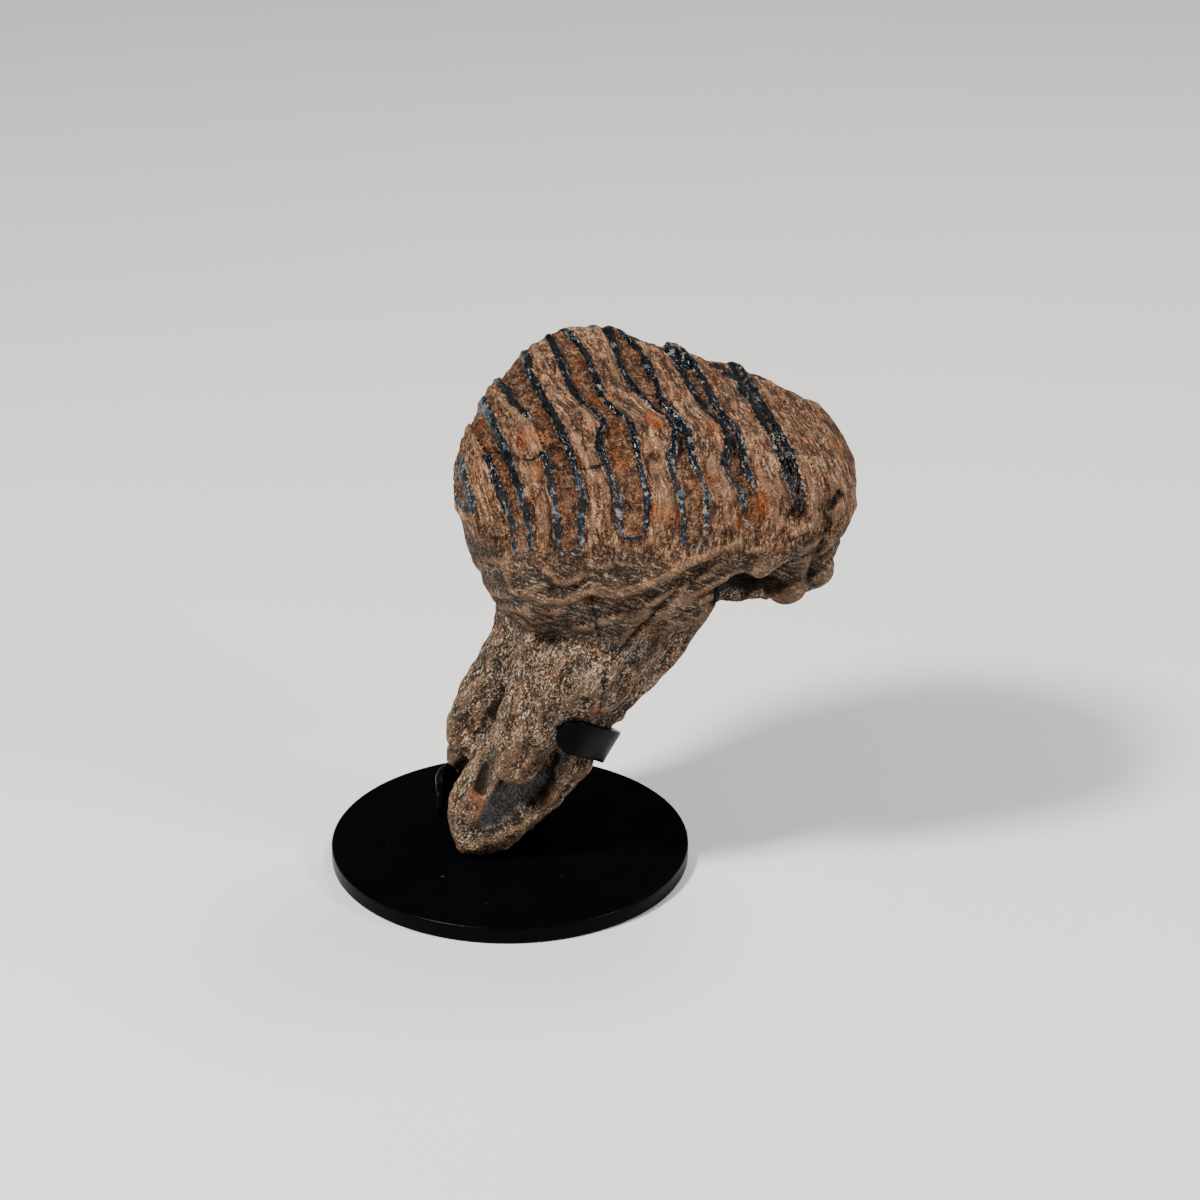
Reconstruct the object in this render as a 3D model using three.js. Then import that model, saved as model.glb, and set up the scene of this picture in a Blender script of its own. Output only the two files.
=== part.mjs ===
// A fossil mammoth molar standing on its black metal display stand.
//
// Millimetres, +Z up. The origin is the centre of the stand disc's underside.
// The chewing surface faces up, the shown long side faces -Y, and the tall root leans down to -X.
// The tooth is one closed body: its crown, roots, enamel ridges, folds, cracks and pits are one form.
import * as THREE from 'three';

// ---------------------------------------------------------------- display stand
const DISC = { radius: 50, thickness: 5, edge: 0.6, sides: 80 };
const POST = { x: 8.5, y: 20.5, radius: 3, top: 37.5, sides: 24 };
const STRAP = { width: 10, thickness: 2, bevel: 0.45, step: 2 };
const JOINT_GAP = 0.3;

// Mid-lines of the two flat arms, from the free rounded end to the end that lies on the post.
const UPPER_ARM = [
  [13.3, -24.8, 50.7], [18.6, -24.6, 50.0], [23.1, -20.6, 46.6], [26.5, -14.6, 42.6], [27.7, -7.8, 38.6],
  [27.0, -0.5, 35.2], [24.0, 6.6, 32.7], [19.0, 12.2, 31.4], [13.0, 15.6, 31.0], [6.5, 16.2, 31.0],
];
const LOWER_ARM = [
  [-18.9, -5.6, 18.6], [-19.5, 0.0, 17.8], [-19.8, 6.4, 16.8], [-18.4, 13.0, 16.0], [-13.0, 19.6, 15.6],
  [-4.5, 23.3, 15.6], [11.5, 24.8, 15.6],
];

// ---------------------------------------------------------------- crown of the tooth
// Half outlines of horizontal slices through the crown, at these heights.
const CROWN = {
  height: [76, 82, 88, 94, 100, 108, 115, 125, 135, 148],
  left: [-4.5, -5.8, -7.5, -9.2, -11, -13.2, -14.2, -12.8, -8.2, -1],
  right: [60, 63, 70, 82, 90, 93.8, 96, 95.4, 91.5, 85],
  front: [-22.5, -26, -29.6, -31.5, -31.7, -31, -30, -27.5, -24, -19],
  back: [30, 33, 35, 36.5, 37.5, 38, 38, 37.5, 37, 36],
  centreX: 38,
  centreY: 3,
  squareness: 2.7,
};
// Worn chewing surface: height of its middle line, its rise towards the back, and its cross curve.
const WORN_TOP = {
  along: [-16, -8, 0, 10, 20, 32, 45, 60, 78, 90, 96],
  middle: [119, 132, 138.5, 142, 143.2, 141.2, 138.2, 135.3, 130.3, 124.5, 116],
  tiltAlong: [-16, 0, 18, 35, 70, 96],
  tilt: [0.16, 0.21, 0.28, 0.22, 0.08, 0.05],
  crossCurve: 0.0026,
};
const CROWN_FLOOR = { low: 81, high: 100, from: 50, to: 74 };

// ---------------------------------------------------------------- roots
const MAIN_ROOT = {
  height: [2, 6, 10, 16, 22, 30, 40, 50, 60, 70, 80, 92],
  left: [-10, -14.2, -16.6, -17.5, -16.3, -11, -5, -0.8, 1.5, 1.5, 0.5, -4],
  right: [-6.3, -0.8, 3.4, 8.6, 12.8, 19.2, 23.8, 28.4, 35, 42.5, 51, 64],
  front: [-10.5, -12.5, -14, -15.4, -16.4, -17.6, -19, -21.5, -24.8, -26, -24.5, -26],
  back: [-7.5, -5, -2, 1, 3.5, 7, 11.5, 15, 19, 23, 27, 32],
  squareness: 2.2,
};
// Round limbs: x, y, z and radius along each one.
const BACK_LEFT_ROOT = [[12, 16, 88, 15], [7.6, 14, 64, 12], [0.2, 12.5, 48, 11], [-7.2, 11.5, 36, 10.2],
  [-11.5, 10, 27, 6.2]];
const FLANK = [[53, 0, 91, 10], [40, -6, 70, 8.2], [25, -8, 50, 5.6], [17.5, -10.5, 36, 5], [12.5, -11.5, 27.5, 4.8],
  [3, -11, 17, 4.4]];
const FRONT_STUB = [[76.3, -9, 102, 11.5], [75.6, -10.5, 89.8, 6.2]];
const END_STUB = [[82, 1, 105, 11.7], [80.8, -1, 91, 7.8]];
const BACK_WALL = [[48, 17, 84, 12], [60, 17, 82, 10], [70, 16, 83, 9.5]];
const ROOT_LOBE = [[12, -12, 60, 9], [6.2, -12.4, 46.5, 8.7], [1.7, -14.2, 37.6, 7.2]];
// The open hollow below the front lobe, and the gap that runs up beside the lobe.
const ROOT_VALLEY = [[16, -21, 43, 4.4], [9.5, -19.2, 34, 6], [2, -18, 25, 6.8], [-5.5, -19, 15, 5]];
const ROOT_GAP = [[16.5, -18, 45, 1.6], [12.4, -15.5, 38.8, 2.4], [8, -14, 33, 2.4], [0.5, -15, 29.5, 2]];
const RECESS = { centre: [65, -20, 86], radii: [10.5, 28, 15.5], roll: 0.35 };
const TIP_Z = DISC.thickness + JOINT_GAP;

// ---------------------------------------------------------------- enamel plates
// A plate is a flat sheet through the crown. The stations run from the back edge, over the chewing
// surface and down the front; left and right are the x of its two enamel walls at each station.
// Its far rise is how much it stands out at its end on the far edge.
const STATION_ORIGIN = 145;
const STATIONS = [-34, -20, -6, 8, 18, 28, 38, 48, 58];
const NEVER = [-99, 99];
const WHOLE = [200, 200];
const GAP_FADE = 8;
const PLATES = [
  { foot: 113, left: [-30, -28, -26, -23, -21, -19.5, -18, -16, -14],
    right: [-21, -19.5, -17.5, -15, -13.3, -12, -10.5, -8.6, -7.4], leftGap: NEVER, rightGap: [-99, 16] },
  { foot: 106, left: [-17, -15, -12.5, -10, -8, -5.2, -2.9, -0.2, 2.3],
    right: [-13, -10.5, -7.8, -4.9, -2.8, -0.4, 2.2, 4.5, 6.6], leftGap: [-99, 24] },
  { foot: 107.5, left: [-8, -5, -1.5, 2.8, 6.9, 9.5, 11.4, 12.8, 14],
    right: [1.5, 4.8, 6.7, 10.5, 13.7, 16, 18.6, 20.2, 20.2], leftGap: [20, 27], farRise: 1.2 },
  { foot: 112.5, left: [9.5, 13.2, 16, 20, 26, 24.9, 27.2, 29.8, 30.5],
    right: [14, 20.2, 23.7, 26.8, 33, 34.8, 35.8, 37.6, 37.4], farRise: 0.5 },
  { foot: 110, left: [27.5, 29.8, 32.4, 38.6, 45.2, 45, 44, 46.6, 47.4],
    right: [30.5, 36.6, 40, 42.8, 48, 48.9, 50.6, 53.5, 53.3], farRise: 0.7 },
  { foot: 115.5, left: [42.5, 46, 49.1, 53.7, 58.6, 59.4, 58.6, 62.9, 63.4],
    right: [45.7, 50.8, 54, 57.2, 61.4, 62.8, 64, 67.3, 66.6], rightGap: [49, 99],
    farRise: 1.4 },
  { foot: 118.5, left: [58.7, 61.7, 64.5, 67.9, 70.5, 72.8, 74.9, 76.8, 78.2],
    right: [61.4, 64.7, 67.3, 70.9, 73.3, 75.7, 77.7, 79.5, 80.9], farRise: 1.1 },
  { foot: 118, left: [69, 73, 77, 80, 83, 85, 87, 89, 90],
    right: [72, 76.5, 80.5, 83, 86, 88, 90, 92, 93], leftGap: [-8, 99], rightGap: [-8, 99] },
];
const ENAMEL = { thickness: 2.2, rise: 0.85, sink: 0.95, swell: 0.3, frontShare: 0.6 };

// ---------------------------------------------------------------- folds, cracks and pits of the shown side
// Each line is a run of [x, z] points on the front; height is outwards, width is its half width.
const FRONT_LINES = [
  { height: 1.3, width: 1.5, path: [[0, 102], [2, 95.5], [7, 94], [14, 94.5]] },
  { height: 1.3, width: 1.4, path: [[11.5, 102.5], [14, 100], [16.5, 99.4], [20.5, 102]] },
  { height: 1.8, width: 1.8, path: [[14, 91], [18, 95.5], [23, 98], [29, 97.4], [35, 99], [41, 101], [49, 106],
    [56, 109.5], [62, 111]] },
  { height: -0.8, width: 2.2, path: [[-4, 80.5], [2, 76], [8, 77], [14, 79.4], [19, 81.2]] },
  { height: -2.8, width: 1.7, path: [[-4.4, 41], [-5.8, 35.4], [-7, 31.4], [-7.5, 29]] },
  { height: -0.7, width: 2, path: [[52, 104], [45, 100], [38, 95], [33, 92]] },
  { height: -0.9, width: 0.9, path: [[45.5, 97], [40.4, 91.8], [37, 86.2], [33.6, 80.9], [31.4, 77.2], [29.8, 75],
    [27.1, 72.9], [26.3, 66.6], [25, 57.2], [24.1, 52.4]] },
  { height: -0.7, width: 0.9, path: [[54, 93], [48, 91], [42, 87.5]] },
  { height: -1.2, width: 1.1, path: [[84, 118], [86, 113], [85, 108], [83, 103], [82.5, 97], [81.5, 91]] },
  { height: 0.8, width: 1.3, path: [[71, 119], [74, 115.5], [77, 112.5], [80.5, 112.5], [84, 116]] },
  { height: 0.7, width: 1.6, path: [[52, 101], [57, 105], [64, 108.5], [72, 109]] },
  { height: -0.8, width: 0.9, path: [[-9, 128], [-2, 129.4], [1.9, 130.9], [6.7, 130.4], [10.7, 132.2],
    [18.6, 133.4]] },
];
const FRONT_PITS = [
  { at: [78.6, 116.5], radius: 3, depth: 2 },
  { at: [88.3, 117.8], radius: 2, depth: 1.6 },
  { at: [22.5, 95.3], radius: 2.2, depth: 1.2 },
  { at: [22, 66], radius: 9, depth: -1.6 },
  { at: [4, 86], radius: 7, depth: -0.9 },
];
const UNDULATION = { scale: 15, height: 0.75 };
const KNOBBLE = { scale: 6.5, height: 0.45 };

// ---------------------------------------------------------------- mesh
const CELL = 1.25;
const RANGE = { low: [-24, -38, 2], high: [100, 44, 154] };
const MOLAR_TRIANGLES = 7900;
const RELIEF_REACH = 5;
const PARTED = 0.15;

// ---------------------------------------------------------------- small helpers
// The corners of a unit cell; bit 0 of a corner's number is its x, bit 1 its y and bit 2 its z.
const CORNERS = [[0, 0, 0], [1, 0, 0], [0, 1, 0], [1, 1, 0], [0, 0, 1], [1, 0, 1], [0, 1, 1], [1, 1, 1]];

const clamp = (value, low, high) => Math.min(Math.max(value, low), high);
const distanceBetween = (p, q) => Math.hypot(p[0] - q[0], p[1] - q[1], p[2] - q[2]);

function smoothStep(from, to, value) {
  const t = clamp((value - from) / (to - from), 0, 1);
  return t * t * (3 - 2 * t);
}

// Smooth curve through the given values: cubic pieces with slopes taken from the neighbours.
function curve(knots, values) {
  const last = knots.length - 1;
  const rise = knots.slice(1).map((k, i) => (values[i + 1] - values[i]) / (k - knots[i]));
  const slopes = knots.map((k, i) => {
    if (i === 0) return rise[0];
    if (i === last) return rise[last - 1];
    const before = k - knots[i - 1];
    const after = knots[i + 1] - k;
    return (rise[i - 1] * after + rise[i] * before) / (before + after);
  });
  return (at) => {
    const x = clamp(at, knots[0], knots[last]);
    let i = 0;
    while (i < last - 1 && x >= knots[i + 1]) i += 1;
    const h = knots[i + 1] - knots[i];
    const t = (x - knots[i]) / h;
    const u = 1 - t;
    return (1 + 2 * t) * u * u * values[i] + t * u * u * h * slopes[i]
      + t * t * (3 - 2 * t) * values[i + 1] - t * t * u * h * slopes[i + 1];
  };
}

// Join and cut of two distances with a rounded seam of the given width.
function join(a, b, width) {
  const h = clamp(0.5 + (0.5 * (b - a)) / width, 0, 1);
  return b + (a - b) * h - width * h * (1 - h);
}
const meet = (a, b, width) => -join(-a, -b, width);

// Sideways distance to a stack of rounded slices; each outline is a curve over height.
function sliceDistance(x, y, left, right, front, back, centreX, centreY, squareness) {
  const ax = Math.max(x < centreX ? centreX - left : right - centreX, 0.5);
  const ay = Math.max(y < centreY ? centreY - front : back - centreY, 0.5);
  const u = Math.abs(x - centreX) / ax;
  const v = Math.abs(y - centreY) / ay;
  const g = (u ** squareness + v ** squareness + 1e-9) ** (1 / squareness);
  const slope = Math.hypot(u ** (squareness - 1) / ax, v ** (squareness - 1) / ay) * g ** (1 - squareness);
  return (g - 1) / Math.max(slope, 1 / 70);
}

// Distance to a cone with round ends between two [x, y, z, radius] points.
function coneDistance(x, y, z, a, b) {
  const dx = b[0] - a[0];
  const dy = b[1] - a[1];
  const dz = b[2] - a[2];
  const length = Math.hypot(dx, dy, dz);
  const px = x - a[0];
  const py = y - a[1];
  const pz = z - a[2];
  const along = (px * dx + py * dy + pz * dz) / length;
  const off = Math.sqrt(Math.max(px * px + py * py + pz * pz - along * along, 0));
  const sine = (a[3] - b[3]) / length;
  const lean = sine / Math.sqrt(Math.max(1 - sine * sine, 1e-6));
  const t = clamp((along + off * lean) / length, 0, 1);
  return Math.hypot(along - t * length, off) - (a[3] + (b[3] - a[3]) * t);
}

// A limb is a smooth run of round cones through its points.
function limb(points, steps = 8) {
  if (points.length === 2) return [points];
  const reach = [0];
  points.slice(1).forEach((p, i) => {
    const q = points[i];
    reach.push(reach[i] + Math.hypot(p[0] - q[0], p[1] - q[1], p[2] - q[2]));
  });
  const tracks = [0, 1, 2, 3].map((k) => curve(reach, points.map((p) => p[k])));
  const total = reach[reach.length - 1];
  const samples = Array.from({ length: steps + 1 }, (_, i) => tracks.map((track) => track((total * i) / steps)));
  return samples.slice(1).map((end, i) => [samples[i], end]);
}

function limbDistance(x, y, z, cones) {
  let nearest = Infinity;
  for (const [a, b] of cones) nearest = Math.min(nearest, coneDistance(x, y, z, a, b));
  return nearest;
}

// Distance to an ellipsoid turned about Y by its roll.
function ellipsoidDistance(x, y, z, { centre, radii, roll }) {
  const px = x - centre[0];
  const py = y - centre[1];
  const pz = z - centre[2];
  const qx = px * Math.cos(roll) + pz * Math.sin(roll);
  const qz = pz * Math.cos(roll) - px * Math.sin(roll);
  const k0 = Math.hypot(qx / radii[0], py / radii[1], qz / radii[2]);
  const k1 = Math.hypot(qx / radii[0] ** 2, py / radii[1] ** 2, qz / radii[2] ** 2);
  return (k0 * (k0 - 1)) / Math.max(k1, 1e-6);
}

// Repeatable smooth noise from -1 to 1 on a unit lattice.
function latticeValue(i, j, k) {
  const s = Math.sin(i * 127.1 + j * 311.7 + k * 74.7) * 43758.5453;
  return (s - Math.floor(s)) * 2 - 1;
}

function noise(x, y, z) {
  const i = Math.floor(x);
  const j = Math.floor(y);
  const k = Math.floor(z);
  const u = smoothStep(0, 1, x - i);
  const v = smoothStep(0, 1, y - j);
  const w = smoothStep(0, 1, z - k);
  let sum = 0;
  for (const [a, b, c] of CORNERS) {
    const weight = (a ? u : 1 - u) * (b ? v : 1 - v) * (c ? w : 1 - w);
    sum += weight * latticeValue(i + a, j + b, k + c);
  }
  return sum;
}

// ---------------------------------------------------------------- tooth form
const crownOutline = Object.fromEntries(
  ['left', 'right', 'front', 'back'].map((side) => [side, curve(CROWN.height, CROWN[side])]));
const rootOutline = Object.fromEntries(
  ['left', 'right', 'front', 'back'].map((side) => [side, curve(MAIN_ROOT.height, MAIN_ROOT[side])]));
const wornMiddle = curve(WORN_TOP.along, WORN_TOP.middle);
const wornTilt = curve(WORN_TOP.tiltAlong, WORN_TOP.tilt);
const limbs = {
  backLeft: limb(BACK_LEFT_ROOT),
  flank: limb(FLANK),
  frontStub: limb(FRONT_STUB),
  endStub: limb(END_STUB),
  backWall: limb(BACK_WALL),
  lobe: limb(ROOT_LOBE),
  valley: limb(ROOT_VALLEY),
  gap: limb(ROOT_GAP),
};

function crownDistance(x, y, z) {
  const side = sliceDistance(x, y, crownOutline.left(z), crownOutline.right(z), crownOutline.front(z),
    crownOutline.back(z), CROWN.centreX, CROWN.centreY, CROWN.squareness);
  const across = y - CROWN.centreY;
  const top = z - (wornMiddle(x) + wornTilt(x) * across - WORN_TOP.crossCurve * across * across);
  const rise = clamp((x - CROWN_FLOOR.from) / (CROWN_FLOOR.to - CROWN_FLOOR.from), 0, 1);
  const floor = CROWN_FLOOR.low + (CROWN_FLOOR.high - CROWN_FLOOR.low) * rise - z;
  return meet(meet(side, top * 0.95, 9), floor, 8);
}

function mainRootDistance(x, y, z) {
  const left = rootOutline.left(z);
  const right = rootOutline.right(z);
  const front = rootOutline.front(z);
  const back = rootOutline.back(z);
  const side = sliceDistance(x, y, left, right, front, back, (left + right) / 2, (front + back) / 2,
    MAIN_ROOT.squareness);
  return meet(meet(side * 0.9, TIP_Z - z, 4), z - 94, 6);
}

function toothForm(x, y, z) {
  let d = join(crownDistance(x, y, z), mainRootDistance(x, y, z), 7);
  d = join(d, limbDistance(x, y, z, limbs.backLeft), 2 + 4 * smoothStep(66, 80, z));
  d = join(d, limbDistance(x, y, z, limbs.flank), 3);
  d = join(d, limbDistance(x, y, z, limbs.backWall), 5);
  d = meet(d, -ellipsoidDistance(x, y, z, RECESS), 3);
  const stubs = join(limbDistance(x, y, z, limbs.frontStub), limbDistance(x, y, z, limbs.endStub), 3);
  d = join(d, stubs, 3);
  d = meet(d, -limbDistance(x, y, z, limbs.valley), 1.6);
  d = join(d, limbDistance(x, y, z, limbs.lobe), 1 + 5 * smoothStep(38, 50, z));
  return meet(d, -limbDistance(x, y, z, limbs.gap), 1);
}

// ---------------------------------------------------------------- relief on the tooth
const plateWalls = PLATES.map((plate) => ({
  leftGap: WHOLE,
  rightGap: WHOLE,
  farRise: 0,
  ...plate,
  leftAt: curve(STATIONS, plate.left),
  rightAt: curve(STATIONS, plate.right),
}));
const openAt = ([from, to], station) => smoothStep(from - GAP_FADE, from, station)
  * (1 - smoothStep(to, to + GAP_FADE, station));

// Outward height of the enamel ridges, of the sunk dentine inside them and of the cement swelling between them.
// On the far edge the plates' ends stand out as whole lumps instead.
function plateRelief(x, y, z) {
  const station = STATION_ORIGIN - z - y;
  const onTop = smoothStep(-27, -17, y);
  const share = ENAMEL.frontShare + (1 - ENAMEL.frontShare) * onTop;
  const edge = smoothStep(24, 31, y) * smoothStep(116, 126, z);
  let relief = 0;
  let farEnds = 0;
  let nearest = 4;
  for (const plate of plateWalls) {
    const left = plate.leftAt(station);
    const right = plate.rightAt(station);
    const half = (right - left) / 2;
    const middle = (right + left) / 2;
    const sideways = Math.abs(x - middle) - half;
    if (sideways < 4) {
      const below = plate.foot - z;
      const corner = Math.hypot(Math.max(sideways + half, 0), Math.max(below + half, 0));
      const gone = openAt(plate.leftGap, station) * openAt(plate.rightGap, station);
      const d = corner + Math.min(Math.max(sideways + half, below + half), 0) - half + 6 * gone;
      const broken = openAt(x < middle ? plate.leftGap : plate.rightGap, station);
      const wall = ENAMEL.thickness / 2;
      const ridge = (1 - broken) * clamp(1.25 - (d / (wall + 0.5)) ** 2, 0, 1);
      const sunk = smoothStep(0, 1.6, -d - wall + 0.3);
      relief += share * (ENAMEL.rise * ridge - ENAMEL.sink * sunk * (1 - ridge));
      farEnds += plate.farRise * (1 - smoothStep(-0.5, 1.8, d));
      nearest = Math.min(nearest, Math.max(d, 0));
    }
  }
  const swell = ENAMEL.swell * smoothStep(1.6, 3.6, nearest) * smoothStep(110, 120, z);
  return (relief + swell) * (1 - edge) + farEnds * edge;
}

function distanceToPath(px, pz, path) {
  let nearest = Infinity;
  for (let i = 1; i < path.length; i += 1) {
    const [ax, az] = path[i - 1];
    const dx = path[i][0] - ax;
    const dz = path[i][1] - az;
    const t = clamp(((px - ax) * dx + (pz - az) * dz) / (dx * dx + dz * dz), 0, 1);
    nearest = Math.min(nearest, Math.hypot(px - ax - t * dx, pz - az - t * dz));
  }
  return nearest;
}

function frontRelief(x, y, z) {
  const facing = 1 - smoothStep(-14, -4, y);
  if (facing === 0) return 0;
  let relief = 0;
  for (const line of FRONT_LINES) {
    const d = distanceToPath(x, z, line.path) / line.width;
    if (d < 2.5) relief += line.height * Math.exp(-d * d);
  }
  for (const pit of FRONT_PITS) {
    const d = Math.hypot(x - pit.at[0], z - pit.at[1]) / pit.radius;
    if (d < 2.5) relief -= pit.depth * Math.exp(-d * d);
  }
  return relief * facing;
}

function toothDistance(x, y, z) {
  const d = toothForm(x, y, z);
  if (Math.abs(d) > RELIEF_REACH) return d;
  const worn = smoothStep(106, 116, z);
  const rough = 1 - 0.7 * worn;
  const broad = UNDULATION.height * noise(x / UNDULATION.scale, y / UNDULATION.scale, z / UNDULATION.scale);
  const fine = KNOBBLE.height * noise(x / KNOBBLE.scale + 7, y / KNOBBLE.scale, z / KNOBBLE.scale);
  const relief = rough * (broad + fine) + plateRelief(x, y, z) + frontRelief(x, y, z);
  return meet(d - relief, TIP_Z - z, 0.6);
}

// ---------------------------------------------------------------- surface of a form
// One vertex in each cell that the surface crosses, one quad across each crossed edge.
function surfaceOf(distance, { low, high }, cell) {
  const count = low.map((start, k) => Math.ceil((high[k] - start) / cell) + 1);
  const [nx, ny, nz] = count;
  const at = (i, j, k) => (i * ny + j) * nz + k;
  const value = new Float64Array(nx * ny * nz);
  for (let i = 0; i < nx; i += 1) {
    for (let j = 0; j < ny; j += 1) {
      for (let k = 0; k < nz; k += 1) {
        value[at(i, j, k)] = distance(low[0] + i * cell, low[1] + j * cell, low[2] + k * cell);
      }
    }
  }
  partDiagonals(value, at, count);
  const points = [];
  const vertexOf = new Int32Array(nx * ny * nz).fill(-1);
  for (let i = 0; i < nx - 1; i += 1) {
    for (let j = 0; j < ny - 1; j += 1) {
      for (let k = 0; k < nz - 1; k += 1) {
        const point = cellPoint(value, at, i, j, k);
        if (point) {
          vertexOf[at(i, j, k)] = points.length;
          points.push([0, 1, 2].map((axis) => low[axis] + point[axis] * cell));
        }
      }
    }
  }
  const triangles = [];
  const addQuad = (a, b, c, d, flip) => {
    const ring = flip ? [a, d, c, b] : [a, b, c, d];
    const first = distanceBetween(points[ring[0]], points[ring[2]]);
    const second = distanceBetween(points[ring[1]], points[ring[3]]);
    const [p, q, r, s] = first <= second ? ring : [ring[1], ring[2], ring[3], ring[0]];
    triangles.push([p, q, r], [p, r, s]);
  };
  for (let i = 1; i < nx - 1; i += 1) {
    for (let j = 1; j < ny - 1; j += 1) {
      for (let k = 1; k < nz - 1; k += 1) {
        const inside = value[at(i, j, k)] < 0;
        if (inside !== value[at(i + 1, j, k)] < 0) {
          addQuad(vertexOf[at(i, j - 1, k - 1)], vertexOf[at(i, j, k - 1)], vertexOf[at(i, j, k)],
            vertexOf[at(i, j - 1, k)], !inside);
        }
        if (inside !== value[at(i, j + 1, k)] < 0) {
          addQuad(vertexOf[at(i - 1, j, k - 1)], vertexOf[at(i - 1, j, k)], vertexOf[at(i, j, k)],
            vertexOf[at(i, j, k - 1)], !inside);
        }
        if (inside !== value[at(i, j, k + 1)] < 0) {
          addQuad(vertexOf[at(i - 1, j - 1, k)], vertexOf[at(i, j - 1, k)], vertexOf[at(i, j, k)],
            vertexOf[at(i - 1, j, k)], !inside);
        }
      }
    }
  }
  return { points, triangles };
}

// True for each pattern of inside corners whose inside and outside corners each hang together.
const ONE_SHEET = Array.from({ length: 256 }, (_, pattern) => {
  const together = (set) => {
    let reached = set & -set;
    for (let round = 0; round < 7; round += 1) {
      for (let p = 0; p < 8; p += 1) {
        if (reached & (1 << p)) reached |= set & ((1 << (p ^ 1)) | (1 << (p ^ 2)) | (1 << (p ^ 4)));
      }
    }
    return reached === set;
  };
  return together(pattern) && together(255 - pattern);
});

// Takes away inside corners that touch only across a diagonal, so that each cell holds one sheet.
function partDiagonals(value, at, [nx, ny, nz]) {
  let changed = true;
  while (changed) {
    changed = false;
    for (let i = 0; i < nx - 1; i += 1) {
      for (let j = 0; j < ny - 1; j += 1) {
        for (let k = 0; k < nz - 1; k += 1) {
          const corner = CORNERS.map(([a, b, c]) => at(i + a, j + b, k + c));
          const pattern = corner.reduce((bits, c, p) => bits | (value[c] < 0 ? 1 << p : 0), 0);
          if (!ONE_SHEET[pattern]) {
            const inside = corner.filter((c) => value[c] < 0);
            const weakest = inside.reduce((a, b) => (value[a] > value[b] ? a : b));
            value[weakest] = PARTED;
            changed = true;
          }
        }
      }
    }
  }
}

// Mean of the crossings on the twelve edges of a cell, in cell units, or null when it has none.
function cellPoint(value, at, i, j, k) {
  const corner = CORNERS.map(([a, b, c]) => value[at(i + a, j + b, k + c)]);
  const sum = [0, 0, 0];
  let crossings = 0;
  for (let p = 0; p < 8; p += 1) {
    for (let axis = 0; axis < 3; axis += 1) {
      const q = p | (1 << axis);
      if (q !== p && corner[p] < 0 !== corner[q] < 0) {
        const t = corner[p] / (corner[p] - corner[q]);
        CORNERS[p].forEach((offset, n) => {
          sum[n] += offset + (n === axis ? t : 0);
        });
        crossings += 1;
      }
    }
  }
  if (crossings === 0) return null;
  return [i + sum[0] / crossings, j + sum[1] / crossings, k + sum[2] / crossings];
}

// ---------------------------------------------------------------- thinning a mesh
// Sum of squared distances to planes, held as the ten terms of a symmetric matrix.
function planeQuadric(p, q, r) {
  const ux = q[0] - p[0];
  const uy = q[1] - p[1];
  const uz = q[2] - p[2];
  const vx = r[0] - p[0];
  const vy = r[1] - p[1];
  const vz = r[2] - p[2];
  const n = [uy * vz - uz * vy, uz * vx - ux * vz, ux * vy - uy * vx];
  const size = Math.hypot(...n) || 1;
  const [a, b, c] = n.map((part) => part / size);
  const d = -(a * p[0] + b * p[1] + c * p[2]);
  return [a * a, a * b, a * c, a * d, b * b, b * c, b * d, c * c, c * d, d * d].map((term) => term * size);
}

function quadricError(q, [x, y, z]) {
  return q[0] * x * x + 2 * q[1] * x * y + 2 * q[2] * x * z + 2 * q[3] * x + q[4] * y * y
    + 2 * q[5] * y * z + 2 * q[6] * y + q[7] * z * z + 2 * q[8] * z + q[9];
}

// The point of least error, or the better of the ends and the middle when the planes are nearly flat.
function bestPoint(q, a, b) {
  const middle = a.map((value, k) => (value + b[k]) / 2);
  const det = q[0] * (q[4] * q[7] - q[5] * q[5]) - q[1] * (q[1] * q[7] - q[5] * q[2])
    + q[2] * (q[1] * q[5] - q[4] * q[2]);
  const scale = q[0] + q[4] + q[7];
  if (Math.abs(det) > 1e-4 * scale ** 3) {
    const x = -(q[3] * (q[4] * q[7] - q[5] * q[5]) - q[1] * (q[6] * q[7] - q[5] * q[8])
      + q[2] * (q[6] * q[5] - q[4] * q[8])) / det;
    const y = -(q[0] * (q[6] * q[7] - q[5] * q[8]) - q[3] * (q[1] * q[7] - q[5] * q[2])
      + q[2] * (q[1] * q[8] - q[6] * q[2])) / det;
    const z = -(q[0] * (q[4] * q[8] - q[6] * q[5]) - q[1] * (q[1] * q[8] - q[6] * q[2])
      + q[3] * (q[1] * q[5] - q[4] * q[2])) / det;
    if (distanceBetween([x, y, z], middle) < 1.5 * distanceBetween(a, b)) return [x, y, z];
  }
  return [middle, a, b].reduce((best, p) => (quadricError(q, p) < quadricError(q, best) ? p : best));
}

class CostHeap {
  constructor() {
    this.items = [];
  }

  push(item) {
    const list = this.items;
    let i = list.push(item) - 1;
    while (i > 0) {
      const parent = (i - 1) >> 1;
      if (list[parent].cost <= list[i].cost) break;
      [list[parent], list[i]] = [list[i], list[parent]];
      i = parent;
    }
  }

  pop() {
    const list = this.items;
    const top = list[0];
    const last = list.pop();
    if (list.length > 0) {
      list[0] = last;
      let i = 0;
      for (;;) {
        let child = 2 * i + 1;
        if (child >= list.length) break;
        if (child + 1 < list.length && list[child + 1].cost < list[child].cost) child += 1;
        if (list[i].cost <= list[child].cost) break;
        [list[i], list[child]] = [list[child], list[i]];
        i = child;
      }
    }
    return top;
  }
}

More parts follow.
